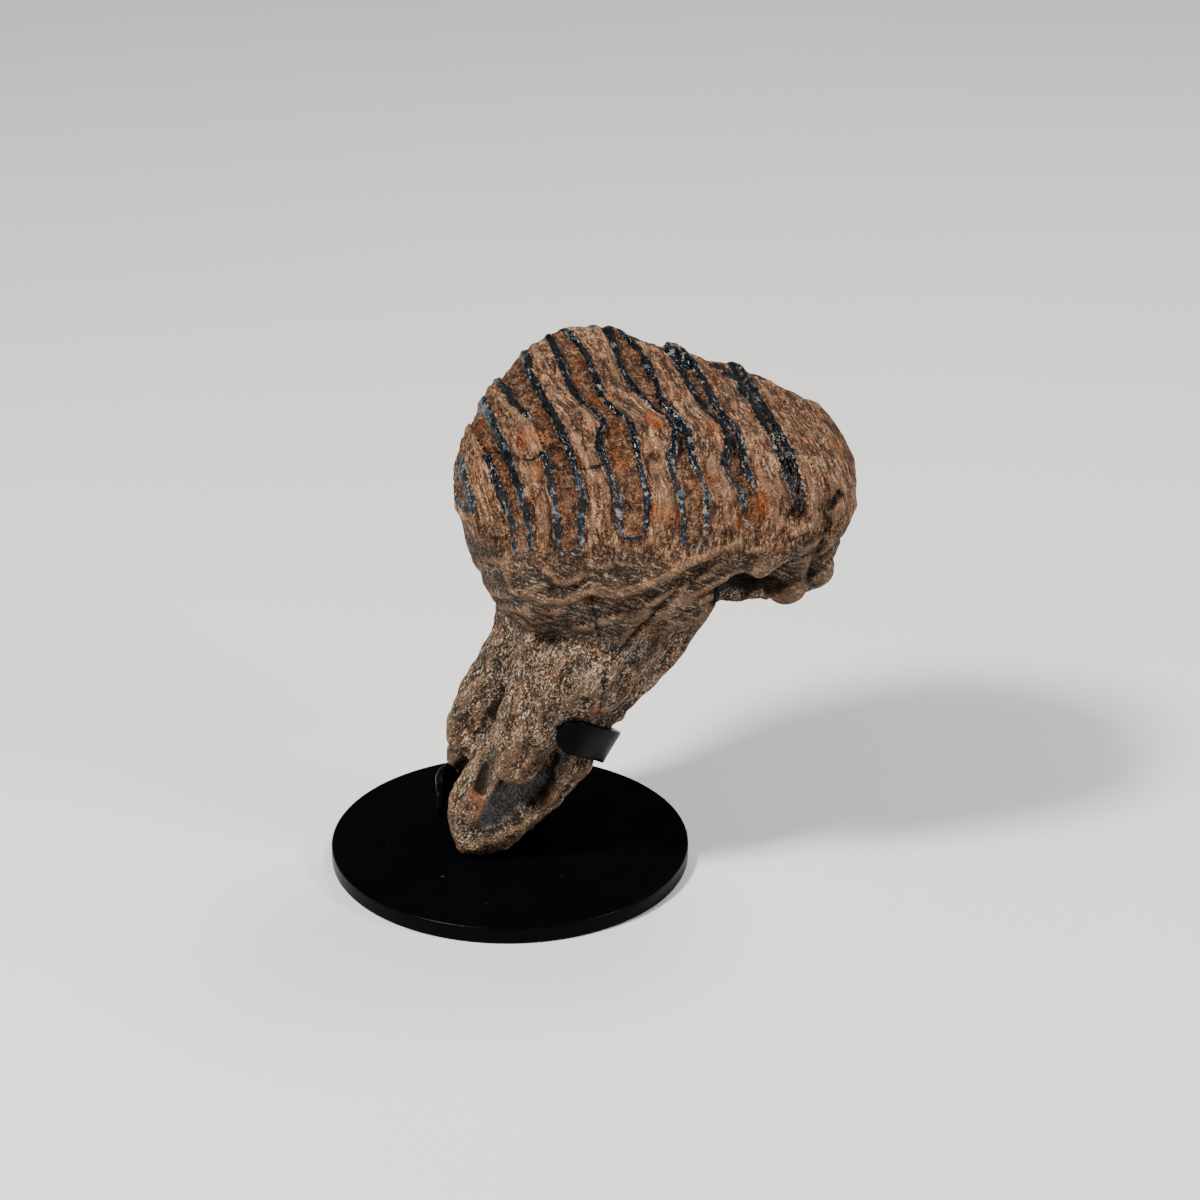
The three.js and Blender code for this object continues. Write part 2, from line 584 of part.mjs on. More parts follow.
function faceNormal(p, q, r) {
  return [
    (q[1] - p[1]) * (r[2] - p[2]) - (q[2] - p[2]) * (r[1] - p[1]),
    (q[2] - p[2]) * (r[0] - p[0]) - (q[0] - p[0]) * (r[2] - p[2]),
    (q[0] - p[0]) * (r[1] - p[1]) - (q[1] - p[1]) * (r[0] - p[0]),
  ];
}

// Folds the cheapest edges away until the wanted number of triangles is left.
// An edge goes only when its ends share two neighbours and no face turns over or becomes a sliver.
function thin({ points, triangles }, target) {
  const place = points.map((p) => [...p]);
  const faces = triangles.map((t) => [...t]);
  const facesOf = place.map(() => new Set());
  const quadrics = place.map(() => new Array(10).fill(0));
  const version = new Int32Array(place.length);
  faces.forEach((face, index) => {
    const q = planeQuadric(...face.map((v) => place[v]));
    for (const v of face) {
      facesOf[v].add(index);
      q.forEach((term, k) => {
        quadrics[v][k] += term;
      });
    }
  });
  const neighbours = (v) => {
    const found = new Set();
    for (const index of facesOf[v]) {
      for (const w of faces[index]) {
        if (w !== v) found.add(w);
      }
    }
    return found;
  };
  const heap = new CostHeap();
  const offer = (u, v) => {
    const q = quadrics[u].map((term, k) => term + quadrics[v][k]);
    const point = bestPoint(q, place[u], place[v]);
    const cost = Math.max(quadricError(q, point), 0) + 1e-3 * distanceBetween(place[u], place[v]) ** 2;
    heap.push({ cost, u, v, point, stamp: version[u] + version[v] });
  };
  place.forEach((_, u) => {
    for (const v of neighbours(u)) {
      if (v > u) offer(u, v);
    }
  });
  const keepsShape = (v, other, point) => {
    for (const index of facesOf[v]) {
      const face = faces[index];
      if (!face.includes(other)) {
        const before = faceNormal(...face.map((w) => place[w]));
        const corners = face.map((w) => (w === v ? point : place[w]));
        const after = faceNormal(...corners);
        const size = Math.hypot(...after);
        const longest = Math.max(distanceBetween(corners[0], corners[1]), distanceBetween(corners[1], corners[2]),
          distanceBetween(corners[2], corners[0]));
        const turn = before[0] * after[0] + before[1] * after[1] + before[2] * after[2];
        if (turn < 0.3 * size * Math.hypot(...before) || size < 0.08 * longest * longest) return false;
      }
    }
    return true;
  };
  let left = faces.length;
  while (left > target && heap.items.length > 0) {
    const { u, v, point, stamp } = heap.pop();
    const alive = facesOf[u].size > 0 && facesOf[v].size > 0 && stamp === version[u] + version[v];
    if (alive && keepsShape(u, v, point) && keepsShape(v, u, point)) {
      const around = neighbours(u);
      const shared = [...neighbours(v)].filter((w) => around.has(w));
      if (shared.length === 2) {
        place[u] = point;
        quadrics[u] = quadrics[u].map((term, k) => term + quadrics[v][k]);
        for (const index of [...facesOf[v]]) {
          const face = faces[index];
          if (face.includes(u)) {
            for (const w of face) facesOf[w].delete(index);
            faces[index] = null;
            left -= 1;
          } else {
            faces[index] = face.map((w) => (w === v ? u : w));
            facesOf[u].add(index);
          }
        }
        facesOf[v].clear();
        version[v] += 1;
        version[u] += 1;
        for (const w of neighbours(u)) {
          version[w] += 1;
        }
        for (const w of neighbours(u)) {
          for (const far of neighbours(w)) offer(Math.min(w, far), Math.max(w, far));
        }
      }
    }
  }
  return { points: place, triangles: faces.filter(Boolean) };
}

function geometryOf({ points, triangles }) {
  const number = new Map();
  const used = [];
  const index = triangles.flatMap((triangle) => triangle.map((v) => {
    if (!number.has(v)) {
      number.set(v, used.length / 3);
      used.push(...points[v]);
    }
    return number.get(v);
  }));
  const geometry = new THREE.BufferGeometry();
  geometry.setAttribute('position', new THREE.Float32BufferAttribute(used, 3));
  geometry.setIndex(index);
  geometry.computeVertexNormals();
  return geometry;
}

// ---------------------------------------------------------------- stand pieces
function discGeometry() {
  const { radius, thickness, edge, sides } = DISC;
  const profile = [[0, 0], [radius - edge, 0], [radius, edge], [radius, thickness - edge],
    [radius - edge * 0.3, thickness - edge * 0.3], [radius - edge, thickness], [0, thickness]];
  const geometry = new THREE.LatheGeometry(profile.map(([r, h]) => new THREE.Vector2(r, h)), sides);
  geometry.rotateX(Math.PI / 2);
  return geometry;
}

function postGeometry() {
  const bottom = DISC.thickness + JOINT_GAP;
  const height = POST.top - bottom;
  const geometry = new THREE.CylinderGeometry(POST.radius, POST.radius, height, POST.sides);
  geometry.rotateX(Math.PI / 2);
  geometry.translate(POST.x, POST.y, bottom + height / 2);
  return geometry;
}

// A flat bar bent along its mid-line, flat against the leaning root, with a round free end.
function armGeometry(midLine) {
  const path = new THREE.CatmullRomCurve3(midLine.map((p) => new THREE.Vector3(...p)), false, 'centripetal');
  const length = path.getLength();
  const half = STRAP.width / 2;
  const stations = [12, 30, 50, 70].map((degrees) => {
    const angle = THREE.MathUtils.degToRad(degrees);
    return { at: half * (1 - Math.cos(angle)), halfWidth: half * Math.sin(angle) };
  });
  const straight = Math.round((length - half) / STRAP.step);
  for (let i = 0; i <= straight; i += 1) {
    stations.push({ at: half + ((length - half) * i) / straight, halfWidth: half });
  }
  const t = STRAP.thickness / 2;
  const b = STRAP.bevel;
  const points = [];
  for (const { at, halfWidth } of stations) {
    const centre = path.getPointAt(at / length);
    const along = path.getTangentAt(at / length);
    const lean = armLean(centre);
    const up = lean.addScaledVector(along, -along.dot(lean)).normalize();
    const out = new THREE.Vector3().crossVectors(up, along);
    const w = halfWidth;
    const section = [[-w, -t + b], [-w + b, -t], [w - b, -t], [w, -t + b], [w, t - b], [w - b, t], [-w + b, t],
      [-w, t - b]];
    for (const [across, depth] of section) {
      points.push(centre.clone().addScaledVector(up, across).addScaledVector(out, depth).toArray());
    }
  }
  const ring = 8;
  const triangles = [];
  for (let i = 0; i < stations.length - 1; i += 1) {
    for (let k = 0; k < ring; k += 1) {
      const a = i * ring + k;
      const c = i * ring + ((k + 1) % ring);
      triangles.push([a, c + ring, c], [a, a + ring, c + ring]);
    }
  }
  const last = (stations.length - 1) * ring;
  for (let k = 1; k < ring - 1; k += 1) {
    triangles.push([0, k, k + 1], [last, last + k + 1, last + k]);
  }
  return geometryOf({ points, triangles });
}

// Width direction of the arms: along the leaning root where they hold it, upright at the post.
function armLean({ x, y, z }) {
  const lean = smoothStep(22, 32, z) * smoothStep(15, 25, x) * (1 - smoothStep(-6, 12, y));
  return new THREE.Vector3(0.55 * lean, 0.05 * lean, 1);
}

// ---------------------------------------------------------------- pieces
function piece(name, geometry, colour, roughness, metalness) {
  const material = new THREE.MeshStandardMaterial({ color: colour, roughness, metalness });
  material.name = name;
  const mesh = new THREE.Mesh(geometry, material);
  mesh.name = name;
  return mesh;
}

const BLACK_METAL = 0x0b0b0c;
const tooth = thin(surfaceOf(toothDistance, RANGE, CELL), MOLAR_TRIANGLES);

const part = new THREE.Group();
part.name = 'mammoth_molar_on_stand';
part.add(piece('molar', geometryOf(tooth), 0x8f7355, 0.85, 0));
part.add(piece('base_disc', discGeometry(), BLACK_METAL, 0.45, 0.6));
part.add(piece('post', postGeometry(), BLACK_METAL, 0.4, 0.6));
part.add(piece('upper_arm', armGeometry(UPPER_ARM), BLACK_METAL, 0.35, 0.6));
part.add(piece('lower_arm', armGeometry(LOWER_ARM), BLACK_METAL, 0.35, 0.6));

export default part;
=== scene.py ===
"""A fossil mammoth molar held upright on a black metal display stand.

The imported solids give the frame: the origin is the centre of the disc's underside and +Z is up. The forms are
described in millimetres in that frame and become metres when their meshes are made.
"""

import logging
import math
from dataclasses import dataclass
from enum import Enum

import bpy
import numpy as np
from mathutils import Matrix, Vector


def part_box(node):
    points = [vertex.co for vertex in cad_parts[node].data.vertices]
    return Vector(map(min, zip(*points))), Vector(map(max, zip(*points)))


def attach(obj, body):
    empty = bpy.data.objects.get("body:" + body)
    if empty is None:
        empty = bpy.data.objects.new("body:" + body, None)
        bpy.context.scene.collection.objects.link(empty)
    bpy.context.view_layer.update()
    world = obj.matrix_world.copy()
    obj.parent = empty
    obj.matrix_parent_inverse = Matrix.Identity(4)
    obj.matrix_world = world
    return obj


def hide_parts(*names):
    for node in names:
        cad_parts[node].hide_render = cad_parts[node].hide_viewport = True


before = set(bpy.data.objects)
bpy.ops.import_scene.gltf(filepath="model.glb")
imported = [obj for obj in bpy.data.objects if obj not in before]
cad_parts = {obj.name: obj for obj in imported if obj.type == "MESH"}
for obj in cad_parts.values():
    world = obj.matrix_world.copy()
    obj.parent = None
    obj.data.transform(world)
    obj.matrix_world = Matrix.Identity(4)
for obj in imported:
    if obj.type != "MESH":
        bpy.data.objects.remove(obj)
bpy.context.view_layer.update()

LOG = logging.getLogger("fossil_molar")
MM = 0.001
BODY = "root"

Array = np.ndarray
Row = tuple[float, ...]
Point = tuple[float, float, float]
Ball = tuple[float, float, float, float]
Colour = tuple[float, float, float]
Tones = tuple[Colour, Colour, Colour]
Feed = float | tuple | bpy.types.NodeSocket
Mesh = tuple[Array, list[Array]]

CORNERS = tuple((p & 1, p >> 1 & 1, p >> 2 & 1) for p in range(8))


class Mark(Enum):
    """What the tooth's mesh carries at each point for its finish to read."""

    ENAMEL = "enamel_distance"
    CORE = "core_distance"
    BROKEN = "enamel_broken"
    PATCH = "far_enamel"
    CROWN = "plated_crown"
    FRONT = "front_side"
    SKIRT = "crown_base"
    CAVITY = "cavity"
    # Share of painted shade, for places shut in, facing down or deep in the recess.
    PAINTED_SHADE = "shelter"
    CRACK = "crack_distance"
    CRACKED = "crack_strength"
    RUST = "rust"
    HOLLOW = "root_hollow"
    FIBRE = "fibre_run"


class ArmName(Enum):
    """The two arms of the stand."""

    UPPER = "upper_arm"
    LOWER = "lower_arm"


# ---------------------------------------------------------------- distances
def smooth_step(low: float, high: float, value: Array) -> Array:
    """Rises smoothly from 0 at low to 1 at high.

    Args:
        low: Value where the rise starts.
        high: Value where it ends.
        value: Numbers to map.

    Returns:
        A number from 0 to 1 for each value.
    """
    t = np.clip((value - low) / (high - low), 0.0, 1.0)
    return t * t * (3.0 - 2.0 * t)


def join(a: Array, b: Array, width: float) -> Array:
    """Joins two distances with a rounded seam.

    Args:
        a: First distance.
        b: Second distance.
        width: Width of the seam in millimetres.

    Returns:
        The joined distance.
    """
    h = np.clip(0.5 + 0.5 * (b - a) / width, 0.0, 1.0)
    return b + (a - b) * h - width * h * (1.0 - h)


def meet(a: Array, b: Array, width: float) -> Array:
    """Keeps what two distances share, with a rounded seam.

    Args:
        a: First distance.
        b: Second distance.
        width: Width of the seam in millimetres.

    Returns:
        The shared distance.
    """
    return -join(-a, -b, width)


def lattice_noise(x: Array, y: Array, z: Array) -> Array:
    """Smooth noise from -1 to 1 on a unit lattice, the same at every run.

    Args:
        x: First coordinates, in lattice cells.
        y: Second coordinates.
        z: Third coordinates.

    Returns:
        The noise at each place.
    """
    i, j, k = np.floor(x), np.floor(y), np.floor(z)
    u, v, w = (smooth_step(0.0, 1.0, part) for part in (x - i, y - j, z - k))
    total = np.zeros(np.broadcast(x, y, z).shape)
    for a, b, c in CORNERS:
        s = np.sin((i + a) * 127.1 + (j + b) * 311.7 + (k + c) * 74.7) * 43758.5453
        weight = (u if a else 1 - u) * (v if b else 1 - v) * (w if c else 1 - w)
        total += weight * ((s - np.floor(s)) * 2 - 1)
    return total


@dataclass(frozen=True)
class Curve:
    """A smooth curve through values at rising knots, with slopes taken from the neighbours."""

    knots: Row
    values: Row

    def at(self, where: Array) -> Array:
        """Reads the curve.

        Args:
            where: Places along the knots.

        Returns:
            The curve's value at each place.
        """
        knots = np.array(self.knots, float)
        values = np.array(self.values, float)
        gap = np.diff(knots)
        rise = np.diff(values) / gap
        slopes = np.concatenate((rise[:1], rise[-1:])) if len(knots) == 2 else np.concatenate((
            rise[:1], (rise[:-1] * gap[1:] + rise[1:] * gap[:-1]) / (gap[1:] + gap[:-1]), rise[-1:]))
        x = np.clip(where, knots[0], knots[-1])
        i = np.clip(np.searchsorted(knots, x, side="right") - 1, 0, len(knots) - 2)
        h = gap[i]
        t = (x - knots[i]) / h
        u = 1.0 - t
        return ((1 + 2 * t) * u * u * values[i] + t * u * u * h * slopes[i]
                + t * t * (3 - 2 * t) * values[i + 1] - t * t * u * h * slopes[i + 1])


@dataclass(frozen=True)
class SliceStack:
    """Rounded horizontal slices whose four sides are curves over height."""

    height: Row
    left: Row
    right: Row
    front: Row
    back: Row
    squareness: float
    centre: tuple[float, float] | None = None

    def middle(self, z: Array) -> Array:
        """The x of the slices' middle at each height."""
        return (Curve(self.height, self.left).at(z) + Curve(self.height, self.right).at(z)) / 2

    def distance(self, x: Array, y: Array, z: Array) -> Array:
        """Sideways distance to the stack.

        Args:
            x: Coordinates along the crown.
            y: Coordinates across it.
            z: Heights.

        Returns:
            Distance to the outline of each point's own slice, negative inside.
        """
        left, right, front, back = (Curve(self.height, side).at(z)
                                    for side in (self.left, self.right, self.front, self.back))
        cx, cy = self.centre or ((left + right) / 2, (front + back) / 2)
        ax = np.maximum(np.where(x < cx, cx - left, right - cx), 0.5)
        ay = np.maximum(np.where(y < cy, cy - front, back - cy), 0.5)
        u = np.abs(x - cx) / ax
        v = np.abs(y - cy) / ay
        n = self.squareness
        g = (u ** n + v ** n + 1e-9) ** (1 / n)
        slope = np.hypot(u ** (n - 1) / ax, v ** (n - 1) / ay) * g ** (1 - n)
        return (g - 1) / np.maximum(slope, 1 / 70)


@dataclass(frozen=True)
class Limb:
    """A round limb through balls of x, y, z and radius."""

    balls: tuple[Ball, ...]
    steps: int = 8

    def cones(self) -> list[tuple[Array, Array]]:
        """The limb's smooth run of round cones, as pairs of balls."""
        balls = np.array(self.balls, float)
        if len(balls) > 2:
            reach = np.concatenate(([0.0], np.cumsum(np.linalg.norm(np.diff(balls[:, :3], axis=0), axis=1))))
            places = np.linspace(0, reach[-1], self.steps + 1)
            balls = np.stack([Curve(tuple(reach), tuple(balls[:, k])).at(places) for k in range(4)], axis=1)
        return list(zip(balls[:-1], balls[1:]))

    def distance(self, x: Array, y: Array, z: Array) -> Array:
        """Distance to the limb.

        Args:
            x: Coordinates along the crown.
            y: Coordinates across it.
            z: Heights.

        Returns:
            Distance to the nearest cone, negative inside.
        """
        nearest = np.full(x.shape, np.inf)
        for a, b in self.cones():
            step = b[:3] - a[:3]
            length = float(np.linalg.norm(step))
            px, py, pz = x - a[0], y - a[1], z - a[2]
            along = (px * step[0] + py * step[1] + pz * step[2]) / length
            off = np.sqrt(np.maximum(px * px + py * py + pz * pz - along * along, 0))
            sine = (a[3] - b[3]) / length
            lean = sine / math.sqrt(max(1 - sine * sine, 1e-6))
            t = np.clip((along + off * lean) / length, 0, 1)
            nearest = np.minimum(nearest, np.hypot(along - t * length, off) - (a[3] + (b[3] - a[3]) * t))
        return nearest


@dataclass(frozen=True)
class Scoop:
    """An egg-shaped hollow, turned about Y by its roll."""

    centre: Point
    radii: Point
    roll: float

    def distance(self, x: Array, y: Array, z: Array) -> Array:
        """Distance to the egg.

        Args:
            x: Coordinates along the crown.
            y: Coordinates across it.
            z: Heights.

        Returns:
            Distance to its skin, negative inside.
        """
        px, py, pz = x - self.centre[0], y - self.centre[1], z - self.centre[2]
        qx = px * math.cos(self.roll) + pz * math.sin(self.roll)
        qz = pz * math.cos(self.roll) - px * math.sin(self.roll)
        a, b, c = self.radii
        k0 = np.sqrt((qx / a) ** 2 + (py / b) ** 2 + (qz / c) ** 2)
        k1 = np.sqrt((qx / a ** 2) ** 2 + (py / b ** 2) ** 2 + (qz / c ** 2) ** 2)
        return k0 * (k0 - 1) / np.maximum(k1, 1e-6)


# ---------------------------------------------------------------- the tooth's form
STATIONS: Row = (-34, -20, -6, 8, 18, 28, 38, 48, 58)
STATION_ORIGIN = 145.0
NEVER = (-99.0, 99.0)
WHOLE = (200.0, 200.0)


@dataclass(frozen=True)
class EnamelPlate:
    """One flat plate of the crown: a dentine core between two enamel walls that close at its foot.

    The walls are x places at stations that run from the back edge, over the worn top and down the front.
    """

    foot: float
    left: Row
    right: Row
    left_gap: tuple[float, float] = WHOLE
    right_gap: tuple[float, float] = WHOLE
    far_rise: float = 0.0
    fade: float = 8.0

    def middle(self, station: Array) -> Array:
        """The x of the plate's middle at each station."""
        return (Curve(STATIONS, self.left).at(station) + Curve(STATIONS, self.right).at(station)) / 2

    def wall_distance(self, x: Array, z: Array, station: Array) -> Array:
        """Distance to the enamel's middle line.

        Args:
            x: Coordinates along the crown.
            z: Heights.
            station: Place along the plate.

        Returns:
            Distance, negative in the dentine core.
        """
        left, right = Curve(STATIONS, self.left).at(station), Curve(STATIONS, self.right).at(station)
        half = (right - left) / 2
        sideways = np.abs(x - (right + left) / 2)
        below = self.foot - z + half
        corner = np.hypot(np.maximum(sideways, 0), np.maximum(below, 0))
        return corner + np.minimum(np.maximum(sideways, below), 0) - half + 6 * self.gone(station)

    def broken(self, x: Array, station: Array) -> Array:
        """Where the enamel is missing.

        Args:
            x: Coordinates along the crown.
            station: Place along the plate.

        Returns:
            1 in a gap and 0 on whole enamel.
        """
        return np.where(x < self.middle(station), self.gap(self.left_gap, station), self.gap(self.right_gap, station))

    def gone(self, station: Array) -> Array:
        """1 where the enamel is missing on both sides."""
        return self.gap(self.left_gap, station) * self.gap(self.right_gap, station)

    def gap(self, limits: tuple[float, float], station: Array) -> Array:
        """1 between the limits, fading out beyond them."""
        low, high = limits
        return smooth_step(low - self.fade, low, station) * (1 - smooth_step(high, high + self.fade, station))


@dataclass(frozen=True)
class FrontLine:
    """A fold, crack or groove on the shown side, along [x, z] points; its height is outwards."""

    height: float
    width: float
    path: tuple[tuple[float, float], ...]

    def trace(self, x: Array, z: Array) -> tuple[Array, Array]:
        """Distance to the line, with its side, and the place along it.

        Args:
            x: Coordinates along the crown.
            z: Heights.

        Returns:
            The distance, negative on the line's right, and a number that is 0 to 1 between the line's ends.
        """
        nearest = np.full(x.shape, np.inf)
        signed, place = np.zeros(x.shape), np.zeros(x.shape)
        count = len(self.path) - 1
        for i, ((ax, az), (bx, bz)) in enumerate(zip(self.path[:-1], self.path[1:])):
            dx, dz = bx - ax, bz - az
            free = ((x - ax) * dx + (z - az) * dz) / (dx * dx + dz * dz)
            t = np.clip(free, 0, 1)
            off = np.hypot(x - ax - t * dx, z - az - t * dz)
            closer = off < nearest
            nearest = np.where(closer, off, nearest)
            side = np.where(dx * (z - az) - dz * (x - ax) < 0, -1.0, 1.0)
            signed = np.where(closer, side * off, signed)
            place = np.where(closer, (i + np.clip(free, 0 if i else -1, 1 if i < count - 1 else 2)) / count, place)
        return signed, place

    def share(self, x: Array, z: Array) -> Array:
        """How much of the line each point takes, from 0 to 1 on its middle."""
        return np.exp(-(self.trace(x, z)[0] / self.width) ** 2)


@dataclass(frozen=True)
class FrontPit:
    """A round pit on the shown side, or a swelling where its depth is negative."""

    at: tuple[float, float]
    radius: float
    depth: float

    def share(self, x: Array, z: Array) -> Array:
        """How much of the pit each point takes, from 0 to 1 at its middle."""
        return np.exp(-(np.hypot(x - self.at[0], z - self.at[1]) / self.radius) ** 2)


CROWN = SliceStack(
    height=(76, 82, 88, 94, 100, 108, 115, 125, 135, 148),
    left=(-4.5, -5.8, -7.5, -9.2, -11, -13.2, -14.2, -12.8, -8.2, -1),
    right=(60, 63, 70, 82, 90, 93.8, 96, 95.4, 91.5, 85),
    front=(-22.5, -26, -29.6, -31.5, -31.7, -31, -30, -27.5, -24, -19),
    back=(30, 33, 35, 36.5, 37.5, 38, 38, 37.5, 37, 36),
    squareness=2.7,
    centre=(38, 3),
)
MAIN_ROOT = SliceStack(
    height=(2, 6, 10, 16, 22, 30, 40, 50, 60, 70, 80, 92),
    left=(-10, -14.2, -16.6, -17.5, -16.3, -11, -5, -0.8, 1.5, 1.5, 0.5, -4),
    right=(-6.3, -0.8, 3.4, 8.6, 12.8, 19.2, 23.8, 28.4, 35, 42.5, 51, 64),
    front=(-10.5, -12.5, -14, -15.4, -16.4, -17.6, -19, -21.5, -24.8, -26, -24.5, -26),
    back=(-7.5, -5, -2, 1, 3.5, 7, 11.5, 15, 19, 23, 27, 32),
    squareness=2.2,
)
WORN_TOP = Curve((-16, -8, 0, 10, 20, 32, 45, 60, 78, 90, 96),
                 (119, 132, 138.5, 142, 143.2, 141.2, 138.2, 135.3, 130.3, 124.5, 116))
WORN_TILT = Curve((-16, 0, 18, 35, 70, 96), (0.16, 0.21, 0.28, 0.22, 0.08, 0.05))
WORN_CURVE = 0.0026
CROWN_FLOOR = Curve((50, 74), (81, 100))

BACK_LEFT_ROOT = Limb(((12, 16, 88, 15), (7.6, 14, 64, 12), (0.2, 12.5, 48, 11), (-7.2, 11.5, 36, 10.2),
                       (-11.5, 10, 27, 6.2)))
FLANK = Limb(((53, 0, 91, 10), (40, -6, 70, 8.2), (25, -8, 50, 5.6), (17.5, -10.5, 36, 5), (12.5, -11.5, 27.5, 4.8),
              (3, -11, 17, 4.4)))
FRONT_STUB = Limb(((76.3, -9, 102, 11.5), (75.6, -10.5, 89.8, 6.2)))
END_STUB = Limb(((82, 1, 105, 11.7), (80.8, -1, 91, 7.8)))
BACK_WALL = Limb(((48, 17, 84, 12), (60, 17, 82, 10), (70, 16, 83, 9.5)))
ROOT_LOBE = Limb(((12, -12, 60, 9), (6.2, -12.4, 46.5, 8.7), (1.7, -14.2, 37.6, 7.2)))
ROOT_VALLEY = Limb(((16, -21, 43, 4.4), (9.5, -19.2, 34, 6), (2, -18, 25, 6.8), (-5.5, -19, 15, 5)))
ROOT_GAP = Limb(((16.5, -18, 45, 1.6), (12.4, -15.5, 38.8, 2.4), (8, -14, 33, 2.4), (0.5, -15, 29.5, 2)))
RECESS = Scoop(centre=(65, -20, 86), radii=(10.5, 28, 15.5), roll=0.35)

PLATES = (
    EnamelPlate(113, (-30, -28, -26, -23, -21, -19.5, -18, -16, -14),
                (-21, -19.5, -17.5, -15, -13.3, -12, -10.5, -8.6, -7.4), NEVER, (-99, 16)),
    EnamelPlate(106, (-17, -15, -12.5, -10, -8, -5.2, -2.9, -0.2, 2.3),
                (-13, -10.5, -7.8, -4.9, -2.8, -0.4, 2.2, 4.5, 6.6), (-99, 24)),
    EnamelPlate(107.5, (-8, -5, -1.5, 2.8, 6.9, 9.5, 11.4, 12.8, 14),
                (1.5, 4.8, 6.7, 10.5, 13.7, 16, 18.6, 20.2, 20.2), (20, 27), far_rise=1.2),
    EnamelPlate(112.5, (9.5, 13.2, 16, 20, 26, 24.9, 27.2, 29.8, 30.5),
                (14, 20.2, 23.7, 26.8, 33, 34.8, 35.8, 37.6, 37.4), far_rise=0.5),
    EnamelPlate(110, (27.5, 29.8, 32.4, 38.6, 45.2, 45, 44, 46.6, 47.4),
                (30.5, 36.6, 40, 42.8, 48, 48.9, 50.6, 53.5, 53.3), far_rise=0.7),
    EnamelPlate(115.5, (42.5, 46, 49.1, 53.7, 58.6, 59.4, 58.6, 62.9, 63.4),
                (45.7, 50.8, 54, 57.2, 61.4, 62.8, 64, 67.3, 66.6), right_gap=(49, 99),
                far_rise=1.4),
    EnamelPlate(118.5, (58.7, 61.7, 64.5, 67.9, 70.5, 72.8, 74.9, 76.8, 78.2),
                (61.4, 64.7, 67.3, 70.9, 73.3, 75.7, 77.7, 79.5, 80.9), far_rise=1.1),
    EnamelPlate(118, (69, 73, 77, 80, 83, 85, 87, 89, 90),
                (72, 76.5, 80.5, 83, 86, 88, 90, 92, 93), (-8, 99), (-8, 99)),
)
PLATE_SPACING = 15.0

FOLDS = (
    FrontLine(1.3, 1.5, ((0, 102), (2, 95.5), (7, 94), (14, 94.5))),
    FrontLine(1.3, 1.4, ((11.5, 102.5), (14, 100), (16.5, 99.4), (20.5, 102))),
    FrontLine(1.8, 1.8, ((14, 91), (18, 95.5), (23, 98), (29, 97.4), (35, 99), (41, 101), (49, 106), (56, 109.5),
                         (62, 111))),
    FrontLine(0.8, 1.3, ((71, 119), (74, 115.5), (77, 112.5), (80.5, 112.5), (84, 116))),
    FrontLine(0.7, 1.6, ((52, 101), (57, 105), (64, 108.5), (72, 109))),
)
GROOVES = (
    FrontLine(-0.8, 2.2, ((-4, 80.5), (2, 76), (8, 77), (14, 79.4), (19, 81.2))),
    FrontLine(-0.7, 2.0, ((52, 104), (45, 100), (38, 95), (33, 92))),
)
CRACKS = (
    FrontLine(-0.9, 0.9, ((45.5, 97), (40.4, 91.8), (37, 86.2), (33.6, 80.9), (31.4, 77.2), (29.8, 75), (27.1, 72.9),
                          (26.3, 66.6), (25, 57.2), (24.1, 52.4))),
    FrontLine(-0.7, 0.9, ((54, 93), (48, 91), (42, 87.5))),
    FrontLine(-1.2, 1.1, ((84, 118), (86, 113), (85, 108), (83, 103), (82.5, 97), (81.5, 91))),
    FrontLine(-0.8, 0.9, ((-9, 128), (-2, 129.4), (1.9, 130.9), (6.7, 130.4), (10.7, 132.2), (18.6, 133.4))),
    FrontLine(-0.7, 0.9, ((20.7, 129.7), (27.9, 131.1))),
    FrontLine(-0.3, 0.7, ((22.8, 96), (23.6, 90), (24.4, 85), (25, 81.8))),
    FrontLine(-1.6, 1.4, ((87.4, 117.4), (88.6, 118.6))),
    FrontLine(-0.9, 1.7, ((76.4, 117.6), (78.0, 116.4))),
    FrontLine(-0.8, 1.2, ((32.5, 121.5), (33.1, 120.9))),
)
CRACK_WIDTH = 0.9
SLOT = FrontLine(-2.8, 1.7, ((-4.4, 41), (-5.8, 35.4), (-7, 31.4), (-7.5, 29)))
HOLLOW_EDGE = Curve((15, 17, 22.6, 28.3, 36.4, 50), (-9, -2.4, 4, 9.6, 14.4, 20))
PITS = (
    FrontPit((78.6, 116.5), 3.0, 1.5),
    FrontPit((22.5, 95.3), 2.2, 1.2),
    FrontPit((22, 66), 9.0, -1.6),
    FrontPit((4, 86), 7.0, -0.9),
)
RUST_SPOTS: tuple[Ball, ...] = (
    (42.8, -30.6, 119.7, 3.0), (39.8, -30.1, 120.1, 2.6), (45, -30.1, 118.5, 2.0), (28.2, -13.1, 137.5, 2.6), (30.8, -22.8, 131.7, 2.6),
    (5.9, -15.6, 134.6, 2.8), (56, -7.7, 134.5, 2.0), (68.4, -26.3, 120.2, 2.8), (89, 3.6, 124.8, 2.4),
    (17.2, 4, 143.4, 2.8), (-7.1, 1.8, 131.2, 2.0), (20.7, 12.6, 145.6, 2.2), (63.6, -28.1, 116.9, 2.4),
    (39.9, -8.1, 137, 2.6), (25.2, -1.5, 141.4, 2.6), (9.4, -22.6, 129, 2.4), (53, -25.1, 127.2, 2.6),
    (-8.6, -13, 27.4, 2.4), (-7.6, -15, 23.9, 2.6), (-8, -14.4, 19.3, 2.1), (24.5, -22, 57, 2.2), (22.5, -28, 95.3, 2.2),
)
